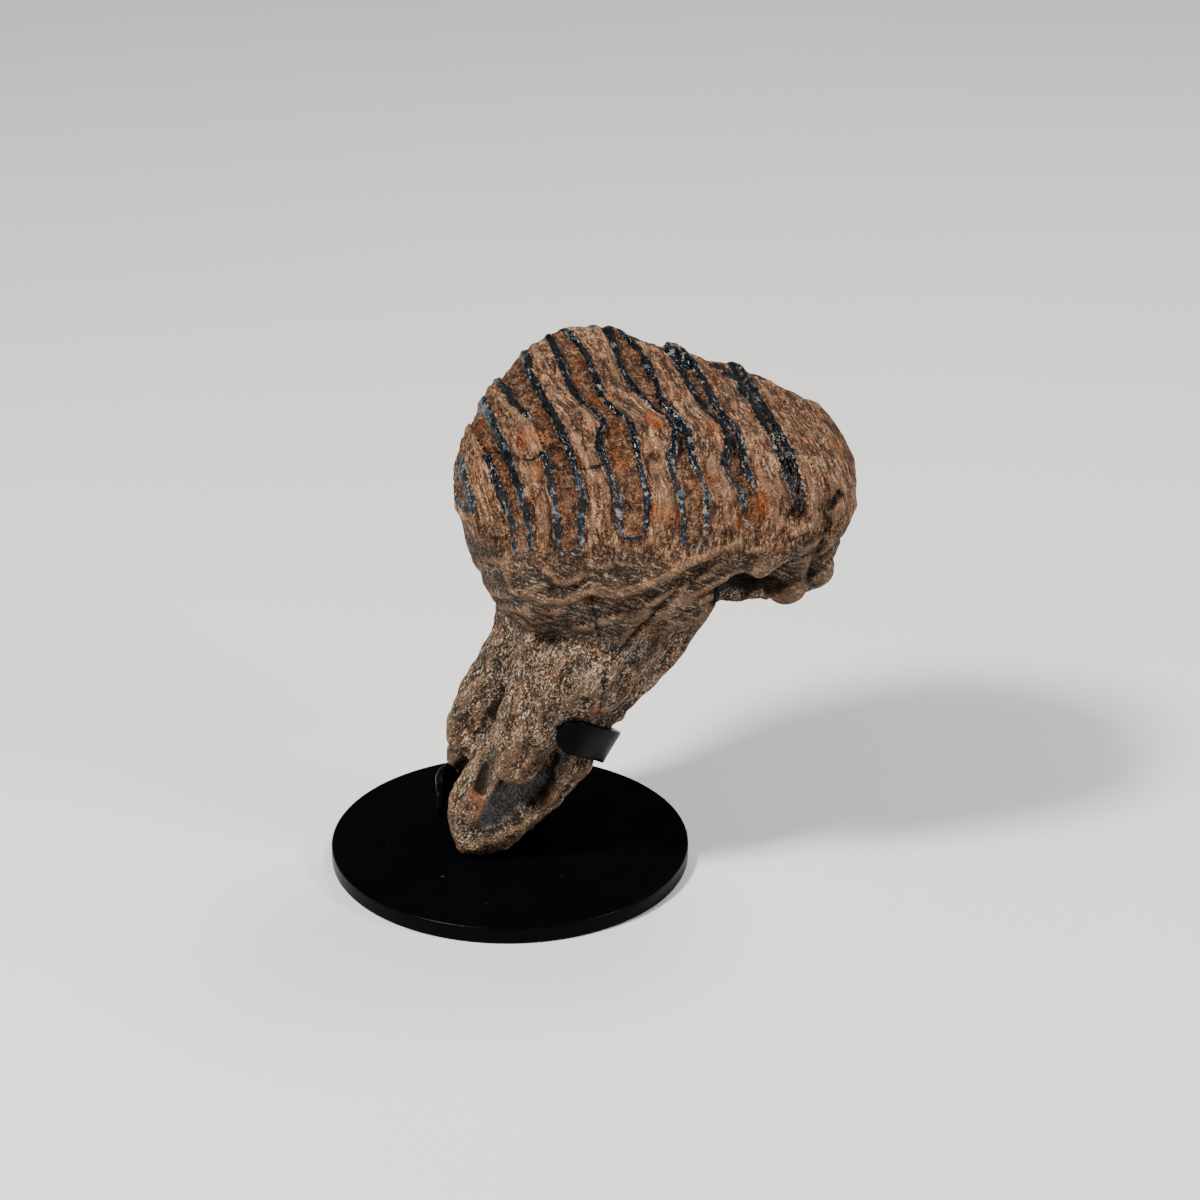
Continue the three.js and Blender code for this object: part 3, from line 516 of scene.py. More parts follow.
FAR_ENAMEL: tuple[Ball, ...] = (
    (19, 31, 147.8, 2.6), (23.1, 31.2, 148, 3.2), (26.9, 28.5, 147.4, 2.6), (32.1, 29.1, 146.2, 2.0),
    (36, 30, 144.5, 1.8), (40.5, 30, 143.3, 1.8), (44.9, 27.3, 142.3, 2.8), (47.1, 26.7, 140.1, 2.6),
    (49.3, 25, 138.5, 2.2), (58, 27, 137.4, 3.2), (60.9, 22.1, 136.8, 2.8), (63.7, 14.7, 135.8, 2.2),
    (70.7, 28.2, 133.3, 2.8), (75, 28, 131.6, 2.2),
)


@dataclass(frozen=True)
class ToothForm:
    """The tooth as a distance: crown, roots, worn top and the relief on them.

    The heights of enamel, cement and dentine are pairs: on the worn top and on the shown side.
    """

    tip: float = 5.02
    relief_reach: float = 5.0
    wall: float = 1.15
    enamel_height: tuple[float, float] = (0.45, -0.2)
    cement_height: tuple[float, float] = (0.5, 0.8)
    dentine_height: tuple[float, float] = (-0.85, -0.1)

    def form(self, x: Array, y: Array, z: Array) -> Array:
        """Distance to the tooth without its relief.

        Args:
            x: Coordinates along the crown.
            y: Coordinates across it.
            z: Heights.

        Returns:
            Distance, negative inside.
        """
        across = y - CROWN.centre[1]
        top = z - (WORN_TOP.at(x) + WORN_TILT.at(x) * across - WORN_CURVE * across * across)
        floor = 81 + 19 * np.clip((x - 50) / 24, 0, 1) - z
        crown = meet(meet(CROWN.distance(x, y, z), top * 0.95, 9), floor, 8)
        root = meet(meet(MAIN_ROOT.distance(x, y, z) * 0.9, self.tip - z, 4), z - 94, 6)
        d = join(crown, root, 7)
        d = join(d, BACK_LEFT_ROOT.distance(x, y, z), 2 + 4 * smooth_step(66, 80, z))
        d = join(d, FLANK.distance(x, y, z), 3)
        d = join(d, BACK_WALL.distance(x, y, z), 5)
        d = meet(d, -RECESS.distance(x, y, z), 3)
        d = join(d, join(FRONT_STUB.distance(x, y, z), END_STUB.distance(x, y, z), 3), 3)
        d = meet(d, -ROOT_VALLEY.distance(x, y, z), 1.6)
        d = join(d, ROOT_LOBE.distance(x, y, z), 1 + 5 * smooth_step(38, 50, z))
        return meet(d, -ROOT_GAP.distance(x, y, z), 1)

    def fibre_run(self, x: Array, y: Array, z: Array) -> tuple[Array, Array]:
        """Coordinates that follow the waves of the plates.

        Args:
            x: Coordinates along the crown.
            y: Coordinates across it.
            z: Heights.

        Returns:
            The place across the plates and the place along them, in millimetres.
        """
        station = STATION_ORIGIN - z - y
        middles = [plate.middle(station) for plate in PLATES]
        across = np.minimum(x - middles[0], 0) + np.maximum(x - middles[-1], 0)
        for a, b in zip(middles[:-1], middles[1:]):
            across = across + PLATE_SPACING * np.clip((x - a) / (b - a), 0, 1)
        return across, station

    def enamel_marks(self, x: Array, y: Array, z: Array) -> tuple[Array, Array, Array]:
        """How far each point is from the nearest enamel wall.

        The wall is thicker and thinner along its run, and thin near a plate's foot.

        Args:
            x: Coordinates along the crown.
            y: Coordinates across it.
            z: Heights.

        Returns:
            Distance to the wall's middle, negative in dentine and at most 6, distance to the wall's faces,
            negative in enamel, and the broken share.
        """
        station = STATION_ORIGIN - z - y
        nearest = np.full(x.shape, 6.0)
        broken, foot = np.zeros(x.shape), np.zeros(x.shape)
        for plate in PLATES:
            d = plate.wall_distance(x, z, station)
            closer = d < nearest
            nearest = np.where(closer, d, nearest)
            broken = np.where(closer, plate.broken(x, station), broken)
            foot = np.where(closer, plate.foot, foot)
        thick = self.wall * (0.5 + 0.5 * smooth_step(0, 9, z - foot)) * (1 - 0.2 * smooth_step(-18, -26, y))
        thick += 0.32 * lattice_noise(x / 3.1, y / 3.1, z / 3.1 + 8) + 0.2 * lattice_noise(x / 7, y / 7, z / 7 + 2)
        return nearest, np.abs(nearest) - thick, broken

    def relief(self, x: Array, y: Array, z: Array) -> Array:
        """Outward height of the tooth's relief.

        Args:
            x: Coordinates along the crown.
            y: Coordinates across it.
            z: Heights.

        Returns:
            Height in millimetres.
        """
        worn = smooth_step(106, 116, z)
        total = (1 - 0.6 * worn) * (0.75 * lattice_noise(x / 15, y / 15, z / 15)
                                    + 0.5 * lattice_noise(x / 6.5 + 7, y / 6.5, z / 6.5))
        total += worn * self.worn_relief(x, y, z) + (1 - worn) * self.root_grain(x, y, z)
        total += 0.34 * lattice_noise(x / 2.1 + 3, y / 2.1, z / 2.1)
        return total + self.front_relief(x, y, z)

    def worn_relief(self, x: Array, y: Array, z: Array) -> Array:
        """Relief of the plates: lumpy enamel, swollen stranded cement and sunken crusty dentine.

        Args:
            x: Coordinates along the crown.
            y: Coordinates across it.
            z: Heights.

        Returns:
            Height in millimetres.
        """
        across, along = self.fibre_run(x, y, z)
        core, face, broken = self.enamel_marks(x, y, z)
        top = smooth_step(-29, -18, y)
        enamel_height, cement_height, dentine_height = (
            side + (up - side) * top for up, side in (self.enamel_height, self.cement_height, self.dentine_height))
        edge = smooth_step(24, 31, y) * smooth_step(116, 126, z)
        lumps = lattice_noise(x / 2.2, y / 2.2 + 3, z / 2.2)
        crust = lattice_noise(across / 2.4, along / 1.9, y / 5) + 0.5 * lattice_noise(x / 3.4, y / 3.4, z / 3.4 + 4)
        run = lattice_noise(across / 1.8, along / 9, y / 14) + 0.8 * lattice_noise(across / 3.9 + 9, along / 7, y / 9)
        enamel = (1 - broken) * (1 - smooth_step(-0.4, 0.4, face))
        cement = enamel_height + (cement_height - enamel_height) * smooth_step(0.2, 2.0, face) * (core > 0)
        cement += smooth_step(0.2, 1.6, face) * (0.55 * run + 0.4 * lattice_noise(x / 4.6, y / 4.6, z / 4.6 + 5))
        dentine = dentine_height + 0.42 * crust
        inner = np.where(core > 0, cement, dentine)
        crease = np.exp(-((face - 0.35) / 0.5) ** 2) * (0.3 + 0.25 * lumps) * (1 - broken)
        total = enamel * (enamel_height + 0.45 * lumps) + (1 - enamel) * inner - crease
        rim = self.far_ends(x, z, STATION_ORIGIN - z - y) + 0.4 * lumps
        return total * (1 - edge) + rim * edge

    def far_ends(self, x: Array, z: Array, station: Array) -> Array:
        """How far the plates' ends stand out on the far edge.

        Args:
            x: Coordinates along the crown.
            z: Heights.
            station: Place along the plates.

        Returns:
            Height in millimetres.
        """
        return sum(plate.far_rise * (1 - smooth_step(-0.5, 1.8, plate.wall_distance(x, z, station)))
                   for plate in PLATES)

    def root_grain(self, x: Array, y: Array, z: Array) -> Array:
        """Relief of the grain that runs along the roots and round the crown's base.

        Args:
            x: Coordinates along the crown.
            y: Coordinates across it.
            z: Heights.

        Returns:
            Height in millimetres.
        """
        across = x - MAIN_ROOT.middle(z)
        lengthwise = lattice_noise(across / 2.1, y / 2.1, z / 12) + 0.7 * lattice_noise(across / 4.6, y / 4.6 + 5, z / 20)
        knobs = lattice_noise(x / 3.2, y / 3.2 + 6, z / 3.2)
        level = z - 0.4 * x
        folded = lattice_noise(x / 14, y / 10, level / 2.4) + 0.6 * lattice_noise(x / 8, y / 8, level / 1.7 + 4)
        base = smooth_step(78, 86, z)
        return (0.5 * lengthwise + 0.45 * knobs) * (1 - base) + (0.6 * folded + 0.25 * knobs) * base

    def facing(self, y: Array) -> Array:
        """1 on the shown side, fading to 0 across the tooth."""
        return 1 - smooth_step(-14, -4, y)

    def front_relief(self, x: Array, y: Array, z: Array) -> Array:
        """Relief of the folds, cracks and pits of the shown side.

        Args:
            x: Coordinates along the crown.
            y: Coordinates across it.
            z: Heights.

        Returns:
            Height in millimetres.
        """
        total = np.zeros(x.shape)
        for line in FOLDS + GROOVES + CRACKS + (SLOT,):
            total += line.height * line.share(x, z)
        for pit in PITS:
            total -= pit.depth * pit.share(x, z)
        return total * self.facing(y)

    def distance(self, points: Array) -> Array:
        """Distance to the finished tooth.

        Args:
            points: Rows of x, y and z.

        Returns:
            Distance at each point, negative inside.
        """
        d = self.form(*points.T)
        near = np.abs(d) < self.relief_reach
        x, y, z = points[near].T
        d[near] = meet(d[near] - self.relief(x, y, z), self.tip - z, 0.6)
        return d


# ---------------------------------------------------------------- meshing a form
@dataclass(frozen=True)
class Skin:
    """Wraps a distance in a skin of quads, one vertex in each cell that the surface crosses."""

    low: Point
    high: Point
    cell: float
    block: int = 4
    band: float = 3.4

    def values(self, form: ToothForm) -> Array:
        """Samples the distance where the surface can be, and marks the rest as inside or outside.

        Args:
            form: The tooth's form.

        Returns:
            A grid of distances.
        """
        low = np.array(self.low)
        blocks = np.ceil((np.array(self.high) - low) / (self.cell * self.block)).astype(int)
        size = self.cell * self.block
        centres = (np.stack(np.meshgrid(*(np.arange(n) for n in blocks), indexing="ij"), -1) + 0.5) * size + low
        coarse = form.form(*centres.reshape(-1, 3).T).reshape(blocks)
        grid = coarse.repeat(self.block, 0).repeat(self.block, 1).repeat(self.block, 2)
        near = np.argwhere(np.abs(coarse) < size * 0.87 + self.band)
        offsets = np.stack(np.meshgrid(*[np.arange(self.block)] * 3, indexing="ij"), -1).reshape(-1, 3)
        cells = (near[:, None] * self.block + offsets[None]).reshape(-1, 3)
        grid[tuple(cells.T)] = form.distance(low + cells * self.cell)
        return grid

    def wrap(self, form: ToothForm) -> tuple[Array, Array]:
        """Makes the skin.

        Args:
            form: The tooth's form.

        Returns:
            Vertices in millimetres, and quads of vertex numbers that face outwards.
        """
        grid = self.values(form)
        self.part_diagonals(grid)
        inside = grid < 0
        count = sum(self.shifted(inside, c).astype(np.int8) for c in CORNERS)
        active = (count > 0) & (count < 8)
        cells = np.argwhere(active)
        number = np.full(active.shape, -1)
        number[active] = np.arange(len(cells))
        total, crossings = np.zeros((len(cells), 3)), np.zeros(len(cells))
        for corner in CORNERS:
            for axis in range(3):
                if corner[axis]:
                    continue
                start = cells + corner
                end = start + np.eye(3, dtype=int)[axis]
                a, b = grid[tuple(start.T)], grid[tuple(end.T)]
                cross = (a < 0) != (b < 0)
                t = np.where(cross, a / np.where(cross, a - b, 1.0), 0.0)
                place = np.array(corner, float) + t[:, None] * np.eye(3)[axis]
                total += place * cross[:, None]
                crossings += cross
        points = np.array(self.low) + self.cell * (cells + total / crossings[:, None])
        return points, self.quads(inside, number)

    @staticmethod
    def shifted(grid: Array, corner: tuple[int, int, int]) -> Array:
        """The grid seen from one corner of each cell."""
        return grid[tuple(slice(c, n - 1 + c) for c, n in zip(corner, grid.shape))]

    def part_diagonals(self, grid: Array) -> None:
        """Takes away inside corners that touch only across a diagonal, so that each cell holds one sheet.

        Args:
            grid: The grid of distances, changed in place.
        """
        one_sheet = np.array([hangs_together(p) and hangs_together(255 - p) for p in range(256)])
        for _ in range(12):
            pattern = sum(self.shifted(grid < 0, c).astype(int) << p for p, c in enumerate(CORNERS))
            bad = np.argwhere(~one_sheet[pattern])
            if len(bad) == 0:
                return
            corners = bad[:, None] + np.array(CORNERS)[None]
            values = grid[tuple(np.moveaxis(corners, 2, 0))]
            weakest = np.where(values < 0, values, -np.inf).argmax(1)
            grid[tuple(corners[np.arange(len(bad)), weakest].T)] = 0.15 * self.cell

    @staticmethod
    def quads(inside: Array, number: Array) -> Array:
        """One quad across each crossed edge of the grid.

        Args:
            inside: True at grid points inside the form.
            number: Vertex number of each cell.

        Returns:
            Rows of four vertex numbers.
        """
        found = []
        for axis in range(3):
            u, v = ((1, 2), (2, 0), (0, 1))[axis]
            a = np.take(inside, range(inside.shape[axis] - 1), axis)
            b = np.take(inside, range(1, inside.shape[axis]), axis)
            edges = np.argwhere(a != b)
            starts_inside = a[tuple(edges.T)]
            ring = []
            for du, dv in ((1, 1), (0, 1), (0, 0), (1, 0)):
                cell = edges.copy()
                cell[:, u] -= du
                cell[:, v] -= dv
                ring.append(number[tuple(cell.T)])
            a, b, c, d = ring
            found.append(np.where(starts_inside[:, None], np.stack([a, b, c, d], 1), np.stack([a, d, c, b], 1)))
        return np.concatenate(found)


def hangs_together(pattern: int) -> bool:
    """True if the corners of a cell that a bit pattern names are joined by the cell's edges."""
    reached = pattern & -pattern
    for _ in range(7):
        for p in range(8):
            if reached >> p & 1:
                reached |= pattern & (1 << (p ^ 1) | 1 << (p ^ 2) | 1 << (p ^ 4))
    return reached == pattern


def make_piece(name: str, points: Array, faces: list | Array) -> bpy.types.Object:
    """Makes a smooth mesh object from millimetre points.

    Args:
        name: Name of the piece.
        points: Rows of x, y and z in millimetres.
        faces: Rows of vertex numbers.

    Returns:
        The new object.
    """
    mesh = bpy.data.meshes.new(name)
    mesh.from_pydata((np.asarray(points) * MM).tolist(), [], [list(map(int, face)) for face in faces])
    mesh.validate()
    mesh.shade_smooth()
    piece = bpy.data.objects.new(name, mesh)
    bpy.context.scene.collection.objects.link(piece)
    return piece


# ---------------------------------------------------------------- wiring of node trees
class Wiring:
    """Short calls for wiring one node tree."""

    def __init__(self, tree: bpy.types.NodeTree) -> None:
        """Keeps the tree.

        Args:
            tree: The node tree to wire.
        """
        self.tree = tree

    def feed(self, socket: bpy.types.NodeSocket, value: Feed) -> None:
        """Links a socket to another, or sets its number or colour.

        Args:
            socket: Input socket.
            value: Output socket, number, vector or colour.
        """
        if isinstance(value, bpy.types.NodeSocket):
            self.tree.links.new(value, socket)
        elif socket.type == "RGBA" and len(value) == 3:
            socket.default_value = (*value, 1.0)
        else:
            socket.default_value = value

    def node(self, kind: str, feeds: dict[str | int, Feed] | None = None, **settings: object) -> bpy.types.Node:
        """Adds a node.

        Args:
            kind: Blender's name of the node type.
            feeds: Values for its inputs, by name or number.
            **settings: Properties of the node.

        Returns:
            The node.
        """
        made = self.tree.nodes.new(kind)
        made.location = (180 * (len(self.tree.nodes) % 12), -220 * (len(self.tree.nodes) // 12))
        for name, value in settings.items():
            setattr(made, name, value)
        for key, value in (feeds or {}).items():
            self.feed(made.inputs[key], value)
        return made

    def maths(self, operation: str, a: Feed, b: Feed = 0.0, clamp: bool = False) -> bpy.types.NodeSocket:
        """Adds a maths node.

        Args:
            operation: Blender's name of the operation.
            a: First value.
            b: Second value.
            clamp: Whether the result stays from 0 to 1.

        Returns:
            Its result.
        """
        return self.node("ShaderNodeMath", {0: a, 1: b}, operation=operation, use_clamp=clamp).outputs[0]

    def ramp(self, value: Feed, low: float, high: float, start: float = 0.0, end: float = 1.0) -> bpy.types.NodeSocket:
        """Maps a value smoothly from one range to another.

        Args:
            value: The value.
            low: Value that gives start.
            high: Value that gives end.
            start: Result at low.
            end: Result at high.

        Returns:
            The mapped value.
        """
        feeds = {"Value": value, "From Min": low, "From Max": high, "To Min": start, "To Max": end}
        return self.node("ShaderNodeMapRange", feeds, interpolation_type="SMOOTHSTEP").outputs["Result"]

    def mix(self, share: Feed, a: Feed, b: Feed, mode: str = "MIX") -> bpy.types.NodeSocket:
        """Mixes two colours.

        Args:
            share: Share of the second colour.
            a: First colour.
            b: Second colour.
            mode: Blender's name of the way they mix.

        Returns:
            The mixed colour.
        """
        made = self.node("ShaderNodeMix", {0: share, 6: a, 7: b}, data_type="RGBA", blend_type=mode)
        return made.outputs[2]

    def mark(self, mark: Mark) -> bpy.types.NodeSocket:
        """Reads one of the mesh's marks."""
        made = self.node("ShaderNodeAttribute", attribute_type="GEOMETRY", attribute_name=mark.value)
        return made.outputs["Vector" if mark is Mark.FIBRE else "Fac"]

    def place(self) -> bpy.types.NodeSocket:
        """The place on the object, in millimetres."""
        coordinates = self.node("ShaderNodeTexCoord").outputs["Object"]
        return self.stretch(coordinates, (1 / MM,) * 3)

    def stretch(self, vector: Feed, scale: Point, offset: Point = (0.0, 0.0, 0.0)) -> bpy.types.NodeSocket:
        """Scales a vector and moves it.

        Args:
            vector: The vector.
            scale: Scale of each part.
            offset: What is added.

        Returns:
            The new vector.
        """
        feeds = {0: vector, 1: scale, 2: offset}
        return self.node("ShaderNodeVectorMath", feeds, operation="MULTIPLY_ADD").outputs[0]

    def noise(self, vector: Feed, scale: Feed, detail: float = 3.0, roughness: float = 0.55,
              distortion: Feed = 0.0) -> bpy.types.NodeSocket:
        """Reads cloudy noise.

        Args:
            vector: Where to read it.
            scale: Cells in each unit of the vector.
            detail: Finer layers.
            roughness: Strength of the finer layers.
            distortion: How far it swirls.

        Returns:
            The noise, from 0 to 1.
        """
        feeds = {"Vector": vector, "Scale": scale, "Detail": detail, "Roughness": roughness,
                 "Distortion": distortion}
        return self.node("ShaderNodeTexNoise", feeds).outputs["Fac"]

    def group(self, tree: bpy.types.NodeTree, feeds: dict[str, Feed]) -> bpy.types.Node:
        """Places a node group with its own values."""
        made = self.node("ShaderNodeGroup", node_tree=tree)
        for key, value in feeds.items():
            self.feed(made.inputs[key], value)
        return made


@dataclass(frozen=True)
class Effects:
    """The node groups that several materials or several parts of one share."""

    strands: bpy.types.NodeTree
    mottle: bpy.types.NodeTree
    dust: bpy.types.NodeTree
    pits: bpy.types.NodeTree

    @classmethod
    def build(cls) -> "Effects":
        """Makes each group once.

        Returns:
            The groups.
        """
        return cls(cls.strand_group(), cls.mottle_group(), cls.dust_group(), cls.pit_group())

    @staticmethod
    def start(name: str, inputs: dict[str, str], outputs: tuple[str, ...]) -> tuple[Wiring, dict, bpy.types.Node]:
        """Starts a group with named sockets.

        Args:
            name: Name of the group.
            inputs: Socket types by input name.
            outputs: Names of its number outputs.

        Returns:
            The group's wiring, its input sockets by name, and its output node.
        """
        tree = bpy.data.node_groups.new(name, "ShaderNodeTree")
        for key, kind in inputs.items():
            tree.interface.new_socket(key, in_out="INPUT", socket_type=kind)
        for key in outputs:
            tree.interface.new_socket(key, in_out="OUTPUT", socket_type="NodeSocketFloat")
        wiring = Wiring(tree)
        entry = wiring.node("NodeGroupInput")
        return wiring, {key: entry.outputs[key] for key in inputs}, wiring.node("NodeGroupOutput")

    @classmethod
    def strand_group(cls) -> bpy.types.NodeTree:
        """Strands that run along the third part of a vector in millimetres, parted by thin dark crevices.

        Returns:
            The group.
        """
        wiring, given, out = cls.start(
            "strands", {"Run": "NodeSocketVector", "Width": "NodeSocketFloat", "Length": "NodeSocketFloat",
                        "Swirl": "NodeSocketFloat"}, ("Strand", "Crevice"))
        width = wiring.maths("DIVIDE", 1.0, given["Width"])
        length = wiring.maths("DIVIDE", 1.0, given["Length"])
        scale = wiring.node("ShaderNodeCombineXYZ", {0: width, 1: width, 2: length}).outputs[0]
        run = wiring.node("ShaderNodeVectorMath", {0: given["Run"], 1: scale}, operation="MULTIPLY").outputs[0]
        cloud = wiring.noise(run, 0.8, 2.0, 0.6, given["Swirl"])
        wiring.feed(out.inputs["Strand"], wiring.ramp(cloud, 0.3, 0.7))
        fine = cls.parting(wiring, wiring.stretch(run, (0.8, 0.8, 0.8), (5.0, 2.0, 1.0)), given["Swirl"], 0.075)
        wide = cls.parting(wiring, wiring.stretch(run, (0.33, 0.33, 0.5), (1.0, 7.0, 3.0)), given["Swirl"], 0.045)
        open_share = wiring.ramp(cloud, 0.35, 0.62, 1.0, 0.35)
        both = wiring.maths("MAXIMUM", wiring.maths("MULTIPLY", fine, open_share), wide)
        wiring.feed(out.inputs["Crevice"], both)
        return wiring.tree

    @staticmethod
    def parting(w: Wiring, run: Feed, swirl: Feed, width: float) -> bpy.types.NodeSocket:
        """Thin lines between strands, where a cloud crosses its middle.

        Args:
            w: The group's wiring.
            run: Where to read the cloud.
            swirl: How far it swirls.
            width: Width of the lines.

        Returns:
            1 on the lines and 0 off them.
        """
        off = w.maths("ABSOLUTE", w.maths("SUBTRACT", w.noise(run, 1.0, 1.5, 0.5, swirl), 0.5))
        return w.ramp(off, 0.0, width, 1.0, 0.0)

    @classmethod
    def mottle_group(cls) -> bpy.types.NodeTree:
        """Soft patches and fine grain.

        Returns:
            The group.
        """
        wiring, given, out = cls.start("mottle", {"Place": "NodeSocketVector", "Size": "NodeSocketFloat",
                                                  "Fine": "NodeSocketFloat"}, ("Patch", "Grain"))
        patch = wiring.noise(given["Place"], wiring.maths("DIVIDE", 1.0, given["Size"]), 3.0, 0.6, 0.4)
        grain = wiring.noise(given["Place"], wiring.maths("DIVIDE", 1.0, given["Fine"]), 1.5, 0.6)
        wiring.feed(out.inputs["Patch"], wiring.ramp(patch, 0.3, 0.7))
        wiring.feed(out.inputs["Grain"], wiring.ramp(grain, 0.33, 0.67))
        return wiring.tree

    @classmethod
    def dust_group(cls) -> bpy.types.NodeTree:
        """Sparse specks of dust.

        Returns:
            The group.
        """
        wiring, given, out = cls.start("dust", {"Place": "NodeSocketVector", "Spacing": "NodeSocketFloat"}, ("Speck",))
        scale = wiring.maths("DIVIDE", 1.0, given["Spacing"])
        cells = wiring.node("ShaderNodeTexVoronoi", {"Vector": given["Place"], "Scale": scale})
        speck = wiring.ramp(cells.outputs["Distance"], 0.03, 0.06, 1.0, 0.0)
        chosen = wiring.ramp(cells.outputs["Color"], 0.6, 0.75)
        wiring.feed(out.inputs["Speck"], wiring.maths("MULTIPLY", speck, chosen))
        return wiring.tree

    @classmethod
    def pit_group(cls) -> bpy.types.NodeTree:
        """Small ragged pits of uneven size, here and there.

        Returns:
            The group.
        """
        wiring, given, out = cls.start("pits", {"Place": "NodeSocketVector", "Spacing": "NodeSocketFloat"}, ("Pit",))
        scale = wiring.maths("DIVIDE", 1.0, given["Spacing"])
        ragged = wiring.node("ShaderNodeTexNoise", {"Vector": given["Place"], "Scale": 1.1, "Detail": 2.0})
        place = wiring.node("ShaderNodeVectorMath", {0: ragged.outputs["Color"], 1: (1.8, 1.8, 1.8),
                                                     2: given["Place"]}, operation="MULTIPLY_ADD").outputs[0]
        cells = wiring.node("ShaderNodeTexVoronoi", {"Vector": place, "Scale": scale})
        size = wiring.ramp(cells.outputs["Color"], 0.5, 1.0, 0.02, 0.34)
        depth = wiring.maths("SUBTRACT", 1.0, wiring.maths("DIVIDE", cells.outputs["Distance"], size), clamp=True)
        wiring.feed(out.inputs["Pit"], depth)
        return wiring.tree


@dataclass(frozen=True)
class Textures:
    """The textures that the fossil's colour and relief share, each from 0 to 1."""

    strand: bpy.types.NodeSocket
    parting: bpy.types.NodeSocket
    rib: bpy.types.NodeSocket
    fold: bpy.types.NodeSocket
    fold_line: bpy.types.NodeSocket
    grain_run: bpy.types.NodeSocket
    crevice: bpy.types.NodeSocket
    patch: bpy.types.NodeSocket
    grain: bpy.types.NodeSocket
    lump: bpy.types.NodeSocket
    flake: bpy.types.NodeSocket
    pit: bpy.types.NodeSocket


@dataclass(frozen=True)
class Regions:
    """Which of the fossil's tissues and stains each place shows, each from 0 to 1."""

    crown: bpy.types.NodeSocket
    skirt: bpy.types.NodeSocket
    core: bpy.types.NodeSocket
    enamel: bpy.types.NodeSocket
    rim: bpy.types.NodeSocket
    crack: bpy.types.NodeSocket
    warm: bpy.types.NodeSocket
    cool: bpy.types.NodeSocket


